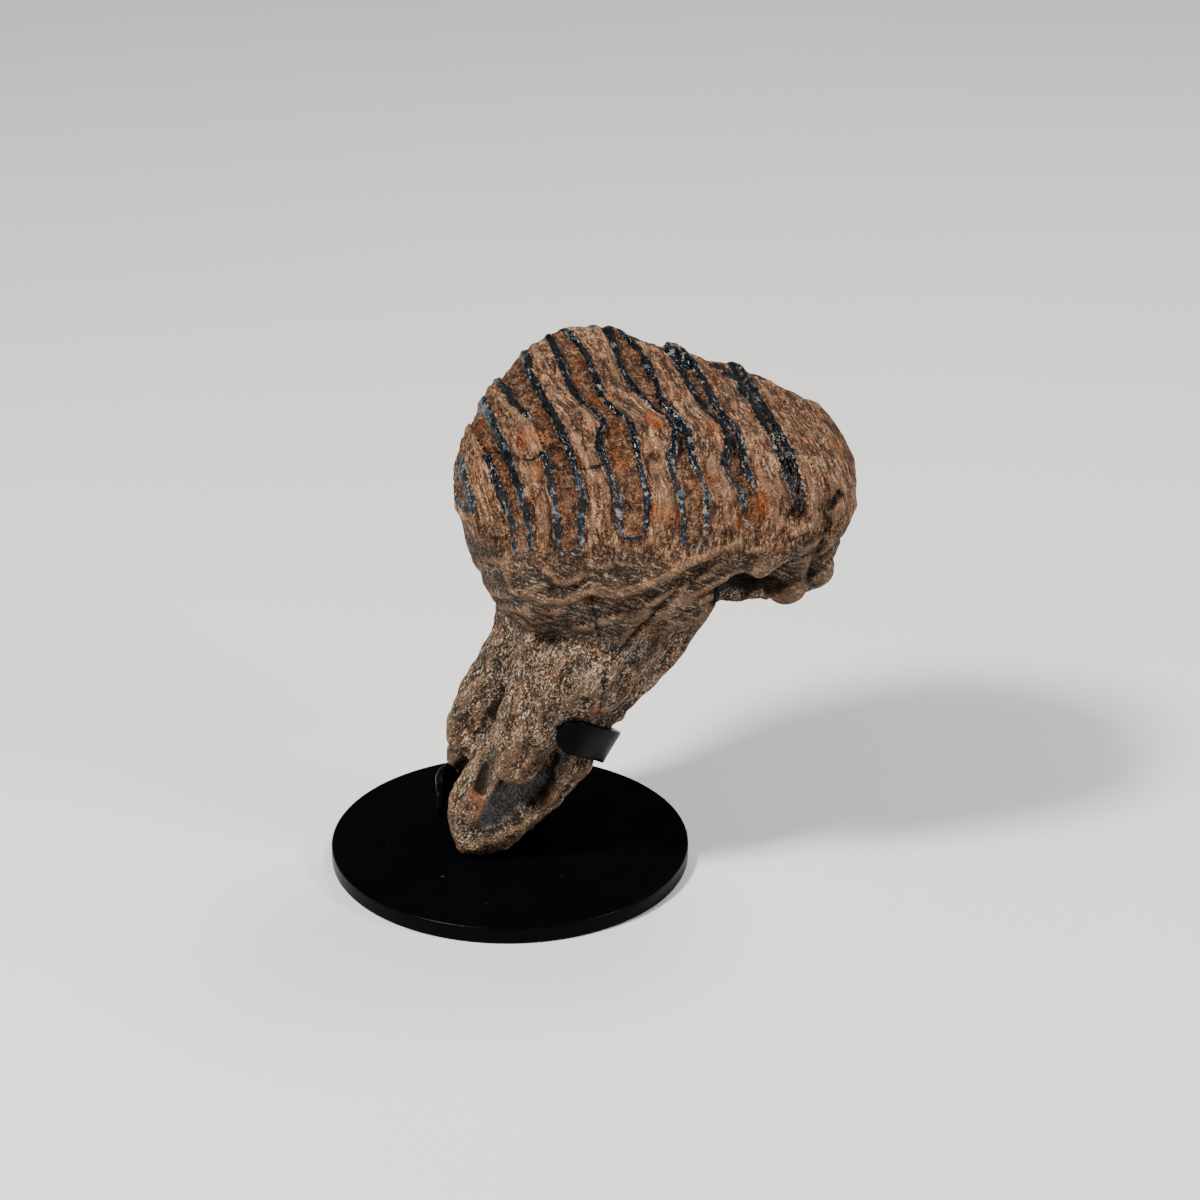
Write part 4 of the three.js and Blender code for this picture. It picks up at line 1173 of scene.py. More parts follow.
@dataclass(frozen=True)
class FossilFinish:
    """Fibrous tan cement, crusty red-brown dentine, glossy blue-black enamel and a pale grainy root.

    A tissue's three colours are those of its hollows, its middle and its crests.
    """

    cement: Tones = ((0.030, 0.0120, 0.0052), (0.122, 0.059, 0.0285), (0.40, 0.225, 0.125))
    dentine: Tones = ((0.020, 0.0065, 0.0024), (0.108, 0.048, 0.0205), (0.36, 0.185, 0.095))
    skirt: Tones = ((0.032, 0.0200, 0.0128), (0.080, 0.0530, 0.0345), (0.33, 0.23, 0.150))
    root: Tones = ((0.026, 0.0150, 0.0088), (0.118, 0.078, 0.050), (0.54, 0.40, 0.28))
    # The enamel's pale colour and its cream are the colours of painted glints and painted sheen.
    enamel: Tones = ((0.0012, 0.0015, 0.0021), (0.0040, 0.0068, 0.0122), (0.110, 0.142, 0.18))
    enamel_cream_glint: Colour = (0.34, 0.31, 0.27)
    warm: Colour = (1.22, 0.88, 0.62)
    cool: Colour = (0.78, 0.90, 1.05)
    rust: Colour = (0.24, 0.058, 0.0085)
    # Painted shade: the near-black brown that darkens creases, crevices, cracks, pits, hollows and sheltered or
    # downward-facing places.
    shade_colour: Colour = (0.0060, 0.0032, 0.0018)
    hollow: tuple[Colour, Colour] = ((0.046, 0.0445, 0.0430), (0.104, 0.094, 0.083))
    rim_pale: Colour = (0.36, 0.30, 0.23)
    rough: float = 0.9
    gloss: float = 0.17

    def tones(self, w: Wiring, colours: Tones, value: Feed) -> bpy.types.NodeSocket:
        """Runs from the dark over the middle to the pale colour.

        Args:
            w: The material's wiring.
            colours: Dark, middle and pale colours.
            value: Tone from 0 to 1.

        Returns:
            The colour.
        """
        low = w.mix(w.ramp(value, 0.1, 0.5), colours[0], colours[1])
        return w.mix(w.ramp(value, 0.5, 0.98), low, colours[2])

    def blend(self, w: Wiring, *shares: tuple[Feed, float]) -> bpy.types.NodeSocket:
        """Adds textures about their middles, each with its own weight.

        Args:
            w: The material's wiring.
            *shares: A texture and its weight.

        Returns:
            The sum, 0.5 where every texture is at its middle.
        """
        total: Feed = 0.5
        for texture, weight in shares:
            total = w.maths("ADD", total, w.maths("MULTIPLY", w.maths("SUBTRACT", texture, 0.5), weight))
        return total

    def textures(self, w: Wiring, effects: Effects, place: bpy.types.NodeSocket) -> Textures:
        """Places the textures.

        Args:
            w: The material's wiring.
            effects: The shared node groups.
            place: The place in millimetres.

        Returns:
            The textures.
        """
        def turned(angle: float, squash: Point) -> bpy.types.NodeSocket:
            """The place turned about Y and squashed."""
            level = w.node("ShaderNodeVectorRotate", {"Vector": place, "Angle": angle}, rotation_type="Y_AXIS")
            return w.stretch(level.outputs[0], squash)

        run = w.mark(Mark.FIBRE)
        along = w.group(effects.strands, {"Run": run, "Width": 0.75, "Length": 8.0, "Swirl": 0.5})
        across = w.group(effects.strands, {"Run": run, "Width": 1.8, "Length": 0.7, "Swirl": 0.8})
        folds = w.group(effects.strands, {"Run": turned(-0.38, (0.2, 1.0, 1.0)), "Width": 0.8, "Length": 0.8,
                                          "Swirl": 1.0})
        length = w.group(effects.strands, {"Run": turned(-0.46, (1.0, 1.0, 1.0)), "Width": 0.75, "Length": 1.9,
                                           "Swirl": 1.3})
        mottle = w.group(effects.mottle, {"Place": place, "Size": 8.0, "Fine": 0.7})
        lump = w.ramp(w.noise(place, 0.75, 2.0, 0.6), 0.32, 0.68)
        flake = w.ramp(w.noise(place, 1.5, 2.0, 0.6, 0.8), 0.3, 0.7)
        pits = w.group(effects.pits, {"Place": place, "Spacing": 2.7})
        return Textures(along.outputs["Strand"], along.outputs["Crevice"], across.outputs["Strand"],
                        folds.outputs["Strand"], folds.outputs["Crevice"], length.outputs["Strand"],
                        length.outputs["Crevice"], mottle.outputs["Patch"], mottle.outputs["Grain"], lump,
                        flake, pits.outputs["Pit"])

    def regions(self, w: Wiring, place: bpy.types.NodeSocket, t: Textures) -> Regions:
        """Reads which tissue each place shows, with ragged borders.

        Args:
            w: The material's wiring.
            place: The place in millimetres.
            t: The textures.

        Returns:
            The regions.
        """
        fray = w.maths("SUBTRACT", w.noise(place, 0.7, 3.0, 0.6), 0.5)
        face = w.maths("ADD", w.mark(Mark.ENAMEL), w.maths("MULTIPLY", fray, 2.6))
        whole = w.maths("SUBTRACT", 1.0, w.ramp(w.mark(Mark.BROKEN), 0.4, 0.6))
        wall = w.maths("MULTIPLY", w.ramp(face, -0.12, 0.12, 1.0, 0.0), whole)
        patch = w.maths("ADD", w.mark(Mark.PATCH), w.maths("MULTIPLY", fray, 0.9))
        enamel = w.maths("MAXIMUM", wall, w.ramp(patch, 0.42, 0.5))
        near = w.maths("MULTIPLY", w.ramp(face, 0.0, 0.35, 1.0, 0.0), w.ramp(t.lump, 0.45, 0.8))
        core = w.ramp(w.mark(Mark.CORE), -0.35, 0.35, 1.0, 0.0)
        jagged = w.maths("ADD", w.maths("ABSOLUTE", w.mark(Mark.CRACK)),
                         w.maths("MULTIPLY", w.maths("ABSOLUTE", fray), 1.6))
        open_share = w.ramp(w.noise(place, 0.35, 2.0, 0.5), 0.38, 0.6, 0.3, 1.0)
        crack = w.maths("MULTIPLY", w.maths("MULTIPLY", w.ramp(jagged, 0.12, 0.5, 1.0, 0.0), w.mark(Mark.CRACKED)),
                        open_share)
        warm = w.ramp(w.noise(place, 0.17, 2.0, 0.5), 0.5, 0.68)
        cool = w.ramp(w.noise(w.stretch(place, (1.0, 1.0, 1.0), (31.0, 17.0, 5.0)), 0.1, 2.0, 0.5), 0.48, 0.66)
        return Regions(w.mark(Mark.CROWN), w.mark(Mark.SKIRT), w.maths("MULTIPLY", core, w.mark(Mark.CROWN)),
                       enamel, w.maths("MULTIPLY", near, whole), crack, warm, cool)

    def tissue(self, w: Wiring, t: Textures, r: Regions) -> bpy.types.NodeSocket:
        """Colours the tissues.

        Args:
            w: The material's wiring.
            t: The textures.
            r: The regions.

        Returns:
            The colour.
        """
        shares = ((t.grain, 0.5), (t.patch, 0.35))
        cement = self.tones(w, self.cement, self.blend(w, (t.strand, 0.6), *shares))
        dentine = self.tones(w, self.dentine, self.blend(w, (t.rib, 0.35), (t.lump, 0.45), (t.flake, 0.3), *shares))
        skirt = self.tones(w, self.skirt, self.blend(w, (t.fold, 0.6), *shares))
        root = self.tones(w, self.root, self.blend(w, (t.grain_run, 0.62), (t.grain, 0.62), (t.patch, 0.38)))
        dentine = w.mix(w.maths("MULTIPLY", w.mark(Mark.FRONT), 0.5), dentine, cement)
        colour = w.mix(r.crown, w.mix(r.skirt, root, skirt), cement)
        colour = w.mix(r.core, colour, dentine)
        colour = w.mix(w.maths("MULTIPLY", r.warm, 0.75), colour, self.warm, "MULTIPLY")
        return w.mix(w.maths("MULTIPLY", r.cool, 0.75), colour, self.cool, "MULTIPLY")

    def stained_and_shaded(self, w: Wiring, place: bpy.types.NodeSocket, t: Textures, r: Regions,
                colour: bpy.types.NodeSocket) -> bpy.types.NodeSocket:
        """Adds rust, painted shade in what lies deep or sheltered, painted highlights on crests, and painted shade in
        partings, cracks and pits.

        Args:
            w: The material's wiring.
            place: The place in millimetres.
            t: The textures.
            r: The regions.
            colour: The colour of the clean tissues.

        Returns:
            The colour.
        """
        blotch = w.ramp(w.noise(place, 0.42, 4.0, 0.7), 0.5, 0.64)
        rust = w.maths("MAXIMUM", w.maths("MULTIPLY", w.ramp(w.mark(Mark.RUST), 0.0, 0.6), w.ramp(t.lump, 0.0, 0.5, 0.5, 1.0)),
                       w.maths("MULTIPLY", w.maths("MULTIPLY", r.core, blotch), 0.5))
        colour = w.mix(w.maths("MULTIPLY", rust, w.ramp(t.grain, 0.0, 0.8, 0.45, 0.92)), colour, self.rust)
        hollow = w.mix(w.ramp(t.grain, 0.2, 0.9), *self.hollow)
        colour = w.mix(w.mark(Mark.HOLLOW), colour, hollow)
        # Painted shade in the thin partings between strands and folds, weaker in the root's hollow.
        parting = w.mix(r.crown, w.mix(r.skirt, t.crevice, t.fold_line), t.parting)
        open_air = w.ramp(w.mark(Mark.HOLLOW), 0.2, 0.7, 1.0, 0.3)
        colour = w.mix(w.maths("MULTIPLY", w.maths("MULTIPLY", parting, 0.74), open_air), colour, self.shade_colour)
        cavity = w.mark(Mark.CAVITY)
        # Painted shade in hollows that lie below the smoothed surface.
        colour = w.mix(w.ramp(cavity, -0.15, -0.9, 0.0, 0.36), colour, self.shade_colour)
        # Painted highlight on crests that stand above the smoothed surface.
        crest_highlight = w.maths("MULTIPLY", w.ramp(cavity, 0.05, 0.45, 0.0, 0.3), open_air)
        colour = w.mix(crest_highlight, colour, self.cement[2])
        # Painted shade where the form shuts a place in, on undersides and in the slot.
        colour = w.mix(w.ramp(w.mark(Mark.PAINTED_SHADE), 0.36, 0.86, 0.0, 0.94), colour, self.shade_colour)
        # Painted shade inside the cracks and the pits.
        colour = w.mix(w.maths("MULTIPLY", r.crack, 0.92), colour, self.shade_colour)
        return w.mix(w.maths("MULTIPLY", w.ramp(t.pit, 0.05, 0.5), 0.85), colour, self.shade_colour)

    def relief(self, w: Wiring, t: Textures, r: Regions) -> bpy.types.NodeSocket:
        """Height of the fine relief.

        Args:
            w: The material's wiring.
            t: The textures.
            r: The regions.

        Returns:
            Height for a bump, about 0 to 1.
        """
        def soft(strand: Feed, parting: Feed) -> bpy.types.NodeSocket:
            """Strands and grain, cut by partings."""
            high = w.maths("ADD", w.maths("MULTIPLY", strand, 0.42), w.maths("MULTIPLY", t.grain, 0.30))
            return w.maths("SUBTRACT", high, w.maths("MULTIPLY", parting, 0.4))

        def level(share: Feed, a: Feed, b: Feed) -> bpy.types.NodeSocket:
            """Mixes two heights."""
            return w.node("ShaderNodeMix", {0: share, 2: a, 3: b}, data_type="FLOAT").outputs[0]

        height = level(r.skirt, soft(t.grain_run, t.crevice), soft(t.fold, t.fold_line))
        height = level(r.crown, height, soft(t.strand, t.parting))
        crust = w.maths("ADD", w.maths("MULTIPLY", t.lump, 0.4), soft(t.rib, t.crevice))
        height = level(r.core, height, crust)
        height = level(w.mark(Mark.HOLLOW), height, w.maths("MULTIPLY", t.grain, 0.25))
        cut = w.maths("ADD", w.maths("MULTIPLY", t.pit, 0.7), w.maths("MULTIPLY", r.crack, 0.8))
        height = w.maths("SUBTRACT", height, cut)
        lumpy = w.maths("ADD", w.maths("MULTIPLY", t.lump, 0.6), w.maths("MULTIPLY", t.flake, 0.5))
        return level(r.enamel, height, w.maths("ADD", lumpy, 0.15))

    def build(self, effects: Effects) -> bpy.types.Material:
        """Makes the tooth's material.

        Args:
            effects: The shared node groups.

        Returns:
            The material.
        """
        material = bpy.data.materials.new("fossil_tooth")
        material.use_nodes = True
        material.node_tree.nodes.clear()
        w = Wiring(material.node_tree)
        place = w.place()
        t = self.textures(w, effects, place)
        r = self.regions(w, place, t)
        colour = self.stained_and_shaded(w, place, t, r, self.tissue(w, t, r))
        colour = w.mix(w.maths("MULTIPLY", r.rim, 0.5), colour, self.rim_pale)
        # Painted glints in streaks and clusters along the enamel, and a patchy painted sheen on its shown side, raise
        # its tone toward the pale colours.
        sheen = w.maths("MULTIPLY", w.mark(Mark.FRONT), w.ramp(w.noise(place, 0.3, 2.0, 0.5), 0.4, 0.62, 0.1, 0.5))
        glint_cluster = w.ramp(w.noise(place, 0.16, 2.0, 0.5), 0.48, 0.62, 0.2, 1.45)
        glint_streak = w.maths("MULTIPLY", w.ramp(t.strand, 0.45, 0.85), w.ramp(t.flake, 0.3, 0.75))
        glint = w.maths("MULTIPLY", glint_streak, glint_cluster)
        pale = w.mix(w.ramp(w.noise(place, 0.24, 2.0, 0.5), 0.45, 0.6), self.enamel[2], self.enamel_cream_glint)
        tone = w.maths("ADD", w.maths("MULTIPLY", t.lump, 0.45), w.maths("ADD", glint, sheen))
        enamel = self.tones(w, (*self.enamel[:2], pale), tone)
        colour = w.mix(r.enamel, colour, enamel)
        bump = w.node("ShaderNodeBump", {"Height": self.relief(w, t, r), "Strength": 1.0, "Distance": 1.3 * MM})
        shine = w.maths("MULTIPLY", r.enamel, w.ramp(w.mark(Mark.FRONT), 0.0, 1.0, 1.0, 0.2))
        rough = w.node("ShaderNodeMix", {0: shine, 2: self.rough, 3: self.gloss}, data_type="FLOAT").outputs[0]
        shader = w.node("ShaderNodeBsdfPrincipled", {
            "Base Color": colour, "Roughness": rough, "Specular IOR Level": w.ramp(r.enamel, 0.0, 1.0, 0.2, 0.28),
            "Coat Weight": w.maths("MULTIPLY", shine, 0.12), "Coat Roughness": 0.1, "IOR": 1.5,
            "Normal": bump.outputs[0]})
        w.node("ShaderNodeOutputMaterial", {"Surface": shader.outputs[0]})
        return material


@dataclass(frozen=True)
class BlackPaint:
    """Smooth satin black paint with a faint orange-peel and a few specks of dust."""

    name: str
    colour: Colour = (0.0009, 0.0010, 0.0014)
    rough: float = 0.27
    spacing: float = 9.0

    def build(self, effects: Effects) -> bpy.types.Material:
        """Makes the paint.

        Args:
            effects: The shared node groups.

        Returns:
            The material.
        """
        material = bpy.data.materials.new(self.name)
        material.use_nodes = True
        material.node_tree.nodes.clear()
        w = Wiring(material.node_tree)
        place = w.place()
        patches = w.group(effects.mottle, {"Place": place, "Size": 9.0, "Fine": 0.7})
        speck = w.group(effects.dust, {"Place": place, "Spacing": self.spacing}).outputs["Speck"]
        colour = w.mix(patches.outputs["Patch"], self.colour, tuple(1.4 * c for c in self.colour))
        colour = w.mix(w.maths("MULTIPLY", speck, 0.4), colour, (0.12, 0.115, 0.105))
        rough = w.ramp(patches.outputs["Patch"], 0.0, 1.0, self.rough - 0.02, self.rough + 0.02)
        bump = w.node("ShaderNodeBump", {"Height": patches.outputs["Grain"], "Strength": 0.25,
                                         "Distance": 0.02 * MM})
        shader = w.node("ShaderNodeBsdfPrincipled", {
            "Base Color": colour, "Roughness": w.maths("ADD", rough, w.maths("MULTIPLY", speck, 0.4)),
            "Specular IOR Level": 0.03, "IOR": 1.5, "Normal": bump.outputs[0]})
        w.node("ShaderNodeOutputMaterial", {"Surface": shader.outputs[0]})
        return material


# ---------------------------------------------------------------- the tooth
@dataclass
class FossilTooth:
    """The fossil tooth: its mesh, and the marks on it that its finish reads."""

    form: ToothForm
    finish: FossilFinish
    cell: float = 0.84
    low: Point = (-24.0, -38.0, 1.0)
    high: Point = (100.0, 44.0, 154.0)

    def build(self, effects: Effects) -> bpy.types.Object:
        """Makes, marks and dresses the tooth.

        Args:
            effects: The shared node groups.

        Returns:
            The tooth.
        """
        points, quads = Skin(self.low, self.high, self.cell).wrap(self.form)
        points = self.settle(points)
        low, high = (np.array(corner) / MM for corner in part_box("molar"))
        points = np.clip(points, np.minimum(low, (0, 0, self.form.tip) + low * (1, 1, 0)), high)
        piece = make_piece("fossil_tooth", points, quads)
        self.add_marks(piece, points, quads)
        piece.data.materials.append(self.finish.build(effects))
        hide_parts("molar")
        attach(piece, BODY)
        return piece

    def settle(self, points: Array) -> Array:
        """Moves each vertex onto the surface itself.

        Args:
            points: Vertices near the surface.

        Returns:
            Vertices on it.
        """
        reach = 0.3 * self.cell
        for _ in range(2):
            here = self.form.distance(points)
            ahead = [self.form.distance(points + reach * axis) for axis in np.eye(3)]
            slope = (np.stack(ahead, 1) - here[:, None]) / reach
            step = -here[:, None] * slope / np.maximum((slope ** 2).sum(1), 0.3)[:, None]
            points = points + np.clip(step, -0.4 * self.cell, 0.4 * self.cell)
        return points

    def add_marks(self, piece: bpy.types.Object, points: Array, quads: Array) -> None:
        """Writes the marks on the mesh.

        Args:
            piece: The tooth.
            points: Its vertices in millimetres.
            quads: Its quads.
        """
        x, y, z = points.T
        across, along = self.form.fibre_run(x, y, z)
        core, face, broken = self.form.enamel_marks(x, y, z)
        facing = self.form.facing(y)
        crack, cracked = self.crack_marks(x, z)
        normal = self.normals(points, quads)
        valley = smooth_step(2.0, 0.4, np.abs(ROOT_VALLEY.distance(x, y, z))) * smooth_step(-9, -12, y)
        valley *= smooth_step(2.0, -1.0, x - HOLLOW_EDGE.at(z))
        slot = SLOT.share(x, z) * facing
        marks = {
            Mark.ENAMEL: face,
            Mark.CORE: core,
            Mark.BROKEN: broken,
            Mark.PATCH: self.spots(points, FAR_ENAMEL),
            Mark.CROWN: smooth_step(101, 110, z - 0.02 * x),
            Mark.FRONT: np.maximum(smooth_step(-19, -28, y), smooth_step(-5, -11, x)),
            Mark.SKIRT: smooth_step(77, 84, z),
            # Height over the smoothed surface; it drives painted shade in hollows and painted highlights on crests.
            Mark.CAVITY: self.cavity(points, quads, normal),
            # Painted shade: sheltered places, undersides, the recess and the slot are darkened through this mark.
            Mark.PAINTED_SHADE: self.shelter(points, normal) + 0.85 * slot,
            Mark.CRACK: crack,
            Mark.CRACKED: cracked * smooth_step(-1, -8, y),
            Mark.RUST: self.spots(points, RUST_SPOTS),
            Mark.HOLLOW: np.maximum(valley * smooth_step(0.2, 1.2, ROOT_LOBE.distance(x, y, z)), slot),
        }
        for mark, values in marks.items():
            attribute = piece.data.attributes.new(mark.value, "FLOAT", "POINT")
            attribute.data.foreach_set("value", values.astype(np.float32))
        run = np.stack([across, (y - z) * 0.3, along], 1)
        attribute = piece.data.attributes.new(Mark.FIBRE.value, "FLOAT_VECTOR", "POINT")
        attribute.data.foreach_set("vector", run.astype(np.float32).ravel())

    @staticmethod
    def spots(points: Array, balls: tuple[Ball, ...]) -> Array:
        """How near each point is to a spot, from 1 at its middle to 0 away from all."""
        spots = np.array(balls)
        return np.max([np.exp(-((points - s[:3]) ** 2).sum(1) / s[3] ** 2) for s in spots], axis=0)

    @staticmethod
    def crack_marks(x: Array, z: Array) -> tuple[Array, Array]:
        """Distance to the nearest crack, and how open it is there.

        Args:
            x: Coordinates along the crown.
            z: Heights.

        Returns:
            The distance, with another sign on each side, and the strength, which fades out at a crack's ends.
        """
        nearest, strength = np.full(x.shape, 3.0), np.zeros(x.shape)
        for line in CRACKS:
            signed, place = line.trace(x, z)
            signed = np.sign(signed) * np.maximum(np.abs(signed) - max(line.width - CRACK_WIDTH, 0), 0)
            taper = 1.0
            if len(line.path) > 2:
                taper = smooth_step(-0.02, 0.12, place) * smooth_step(1.02, 0.88, place)
            closer = np.abs(signed) < np.abs(nearest)
            nearest = np.where(closer, signed, nearest)
            strength = np.where(closer, taper * smooth_step(1.8, 0.9, np.abs(signed)), strength)
        return nearest, strength

    @staticmethod
    def normals(points: Array, quads: Array) -> Array:
        """Outward direction at each vertex."""
        diagonals = np.cross(points[quads[:, 2]] - points[quads[:, 0]], points[quads[:, 3]] - points[quads[:, 1]])
        corners = quads.ravel()
        normal = np.stack([np.bincount(corners, np.repeat(diagonals[:, k], 4), len(points)) for k in range(3)], 1)
        return normal / np.maximum(np.linalg.norm(normal, axis=1), 1e-9)[:, None]

    @staticmethod
    def cavity(points: Array, quads: Array, normal: Array, rounds: int = 14) -> Array:
        """Height of each vertex over the smoothed surface.

        Args:
            points: Vertices in millimetres.
            quads: Their quads.
            normal: Outward direction at each vertex.
            rounds: Rounds of smoothing.

        Returns:
            Height in millimetres, negative in a hollow.
        """
        a = quads.ravel()
        b = np.roll(quads, -1, axis=1).ravel()
        count = np.maximum(np.bincount(a, minlength=len(points)), 1)
        smooth = points.copy()
        for _ in range(rounds):
            smooth = np.stack([np.bincount(a, smooth[b, k], len(points)) / count for k in range(3)], 1)
        return ((points - smooth) * normal).sum(1)

    def shelter(self, points: Array, normal: Array) -> Array:
        """How much the form around each point shuts it in, with more on faces that turn down and deep in the recess;
        it sets the share of painted shade.

        Args:
            points: Vertices in millimetres.
            normal: Outward direction at each vertex.

        Returns:
            A number from 0 in the open to 1.
        """
        total = np.zeros(len(points))
        for reach, weight in ((2.5, 0.05), (6.0, 0.12), (13.0, 0.35), (24.0, 0.48)):
            out = points + normal * reach
            total += weight * np.clip(1 - self.form.form(*out.T) / reach, 0, 1)
        x, y, z = points.T
        # Painted shade: more on faces that turn down and deep in the recess.
        deep = smooth_step(-12, 2, y) * smooth_step(4, 1, np.abs(RECESS.distance(x, y, z)))
        return total + 0.2 * smooth_step(0.0, -0.8, normal[:, 2]) + 0.5 * deep


# ---------------------------------------------------------------- the stand
@dataclass
class DisplayStand:
    """The black stand: a round disc, an upright rod and two flat arms bent round the root."""

    paint: BlackPaint
    radius: float = 50.0
    thickness: float = 5.0
    edge: float = 0.7
    sides: int = 288
    rod_at: tuple[float, float] = (8.5, 20.5)
    rod_radius: float = 3.0
    rod_top: float = 37.5
    arm_width: float = 10.0
    arm_thickness: float = 2.0
    arm_edge: float = 0.45
    weld_reach: tuple[float, float] = (1.7, 0.5)
    weld_height: float = 8.8
    welds: tuple[tuple[str, float, float], ...] = (("stand_upper_weld", 17.35, 31.0),
                                                   ("stand_lower_weld", 23.65, 15.6))
    arms: tuple[tuple[ArmName, tuple[Point, ...]], ...] = (
        (ArmName.UPPER, ((13.3, -24.8, 50.7), (18.6, -24.6, 50), (23.1, -20.6, 46.6), (26.5, -14.6, 42.6),
                         (27.7, -7.8, 38.6), (27, -0.5, 35.2), (24, 6.6, 32.7), (19, 12.2, 31.4), (13, 15.6, 31),
                         (6.5, 16.2, 31))),
        (ArmName.LOWER, ((-18.9, -5.6, 18.6), (-19.5, 0, 17.8), (-19.8, 6.4, 16.8), (-18.4, 13, 16),
                         (-13, 19.6, 15.6), (-4.5, 23.3, 15.6), (11.5, 24.8, 15.6))),
    )

    def build(self, effects: Effects) -> list[bpy.types.Object]:
        """Makes and dresses the stand's pieces.

        Args:
            effects: The shared node groups.

        Returns:
            The pieces.
        """
        paint = self.paint.build(effects)
        pieces = [self.disc(), self.rod()] + [self.arm(name, line) for name, line in self.arms]
        pieces += [self.weld(name, y, z) for name, y, z in self.welds]
        for piece in pieces:
            piece.data.materials.append(paint)
            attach(piece, BODY)
        return pieces

    def turned(self, name: str, profile: list[tuple[float, float]], sides: int) -> bpy.types.Object:
        """Turns a profile about the vertical.

        Args:
            name: Name of the piece.
            profile: Radius and height of each ring, from the underside over the edge to the top.
            sides: Number of sides.

        Returns:
            The turned piece.
        """
        angle = np.arange(sides) * 2 * math.pi / sides
        rings = [np.stack([r * np.cos(angle), r * np.sin(angle), np.full(sides, h)], 1) for r, h in profile]
        points = np.concatenate(rings + [np.array([[0, 0, profile[0][1]], [0, 0, profile[-1][1]]])])
        turn = np.roll(np.arange(sides), -1)
        faces = [(i * sides + k, i * sides + turn[k], (i + 1) * sides + turn[k], (i + 1) * sides + k)
                 for i in range(len(profile) - 1) for k in range(sides)]
        last = (len(profile) - 1) * sides
        faces += [(turn[k], k, len(points) - 2) for k in range(sides)]
        faces += [(last + k, last + turn[k], len(points) - 1) for k in range(sides)]
        return make_piece(name, points, faces)

    def disc(self) -> bpy.types.Object:
        """The round disc with its rounded rim.

        Returns:
            The disc.
        """
        r, t, e = self.radius, self.thickness, self.edge
        bend = [math.radians(a) for a in range(0, 91, 15)]
        lower = [(r - e + e * math.sin(a), e - e * math.cos(a)) for a in bend]
        upper = [(r - e + e * math.cos(a), t - e + e * math.sin(a)) for a in bend]
        profile = ([(r * 0.5, 0), (r - 2 * e, 0)] + lower + [(r, e * 1.6), (r, t - e * 1.6)] + upper
                   + [(r - 2 * e, t), (r - 4 * e, t), (r * 0.5, t)])
        piece = self.turned("stand_disc", profile, self.sides)
        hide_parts("base_disc")
        return piece

    def rod(self) -> bpy.types.Object:
        """The upright rod, with the weld at its foot and a rounded top.

        Returns:
            The rod.
        """
        r, top, foot = self.rod_radius, self.rod_top, self.thickness
        profile = [(r + 0.9, foot), (r + 0.85, foot + 0.35), (r + 0.45, foot + 0.8), (r + 0.1, foot + 1.2),
                   (r, foot + 1.7), (r, foot + 2.6), (r, top - 1.6), (r, top - 0.6), (r - 0.12, top - 0.25),
                   (r - 0.45, top), (r - 0.9, top)]
        piece = self.turned("stand_rod", profile, 64)
        piece.data.transform(Matrix.Translation((self.rod_at[0] * MM, self.rod_at[1] * MM, 0)))
        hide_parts("post")
        return piece

    def weld(self, name: str, y: float, z: float) -> bpy.types.Object:
        """The upright weld that joins an arm's flat side to the rod.

        Args:
            name: Name of the weld.
            y: How far back it stands.
            z: Height of its middle.

        Returns:
            The weld.
        """
        half = self.weld_height / 2
        profile = [(0.3, -half), (0.8, 0.25 - half), (1.0, 0.9 - half), (1.0, half - 0.9), (0.8, half - 0.25),
                   (0.3, half)]
        piece = self.turned(name, profile, 32)
        piece.data.transform(Matrix.Translation((self.rod_at[0] * MM, y * MM, z * MM))
                             @ Matrix.Diagonal((*self.weld_reach, 1.0, 1.0)))
        return piece

    def lean(self, centre: Array) -> Array:
        """Width direction of an arm: along the leaning root where it bends round it, upright elsewhere."""
        share = smooth_step(22, 32, centre[2]) * smooth_step(15, 25, centre[0]) * (1 - smooth_step(-6, 12, centre[1]))
        return np.array([0.55 * share, 0.05 * share, 1.0])

    def arm(self, name: ArmName, line: tuple[Point, ...]) -> bpy.types.Object:
        """A flat bar bent along its mid-line, with rounded edges and a round free end.

        Args:
            name: Which arm it is.
            line: Points of the mid-line, from the free end to the rod.

        Returns:
            The arm.
        """
        reach, places = smooth_run(line)
        half, t, e = self.arm_width / 2, self.arm_thickness / 2, self.arm_edge
        length = reach[-1]
        bend = [math.radians(a) for a in (0, 22.5, 45, 67.5, 90)]
        layers = [(e + 0.5, -t)] + [(e - e * math.sin(a), -t + e - e * math.cos(a)) for a in bend]
        layers += [(e - e * math.cos(a), t - e + e * math.sin(a)) for a in bend] + [(e + 0.5, t)]
        turns = [math.radians(a) for a in range(0, 91, 6)]
        straight = np.linspace(0, 1, 90)[1:]
        rows = []
        for inset, depth in layers:
            stations = [(inset + (half - inset) * (1 - math.cos(a)), (half - inset) * math.sin(a)) for a in turns]
            stations += [(half + (length - half - inset) * s, half - inset) for s in straight]
            for side in (-1, 1):
                rows.append(np.array([self.arm_point(reach, places, at, side * wide, depth)
                                      for at, wide in stations]))
        count = len(rows[0])
        points = np.concatenate(rows)
        start = [row * count for row in range(len(rows))]
        left, right = start[0::2], start[1::2]
        faces = []
        for k in range(count - 1):
            faces.append((left[0] + k, left[0] + k + 1, right[0] + k + 1, right[0] + k))
            faces.append((right[-1] + k, right[-1] + k + 1, left[-1] + k + 1, left[-1] + k))
            for i in range(len(layers) - 1):
                faces.append((left[i] + k, left[i + 1] + k, left[i + 1] + k + 1, left[i] + k + 1))
                faces.append((right[i] + k, right[i] + k + 1, right[i + 1] + k + 1, right[i + 1] + k))
        end = count - 1
        for i in range(len(layers) - 1):
            faces.append((left[i] + end, left[i + 1] + end, right[i + 1] + end, right[i] + end))
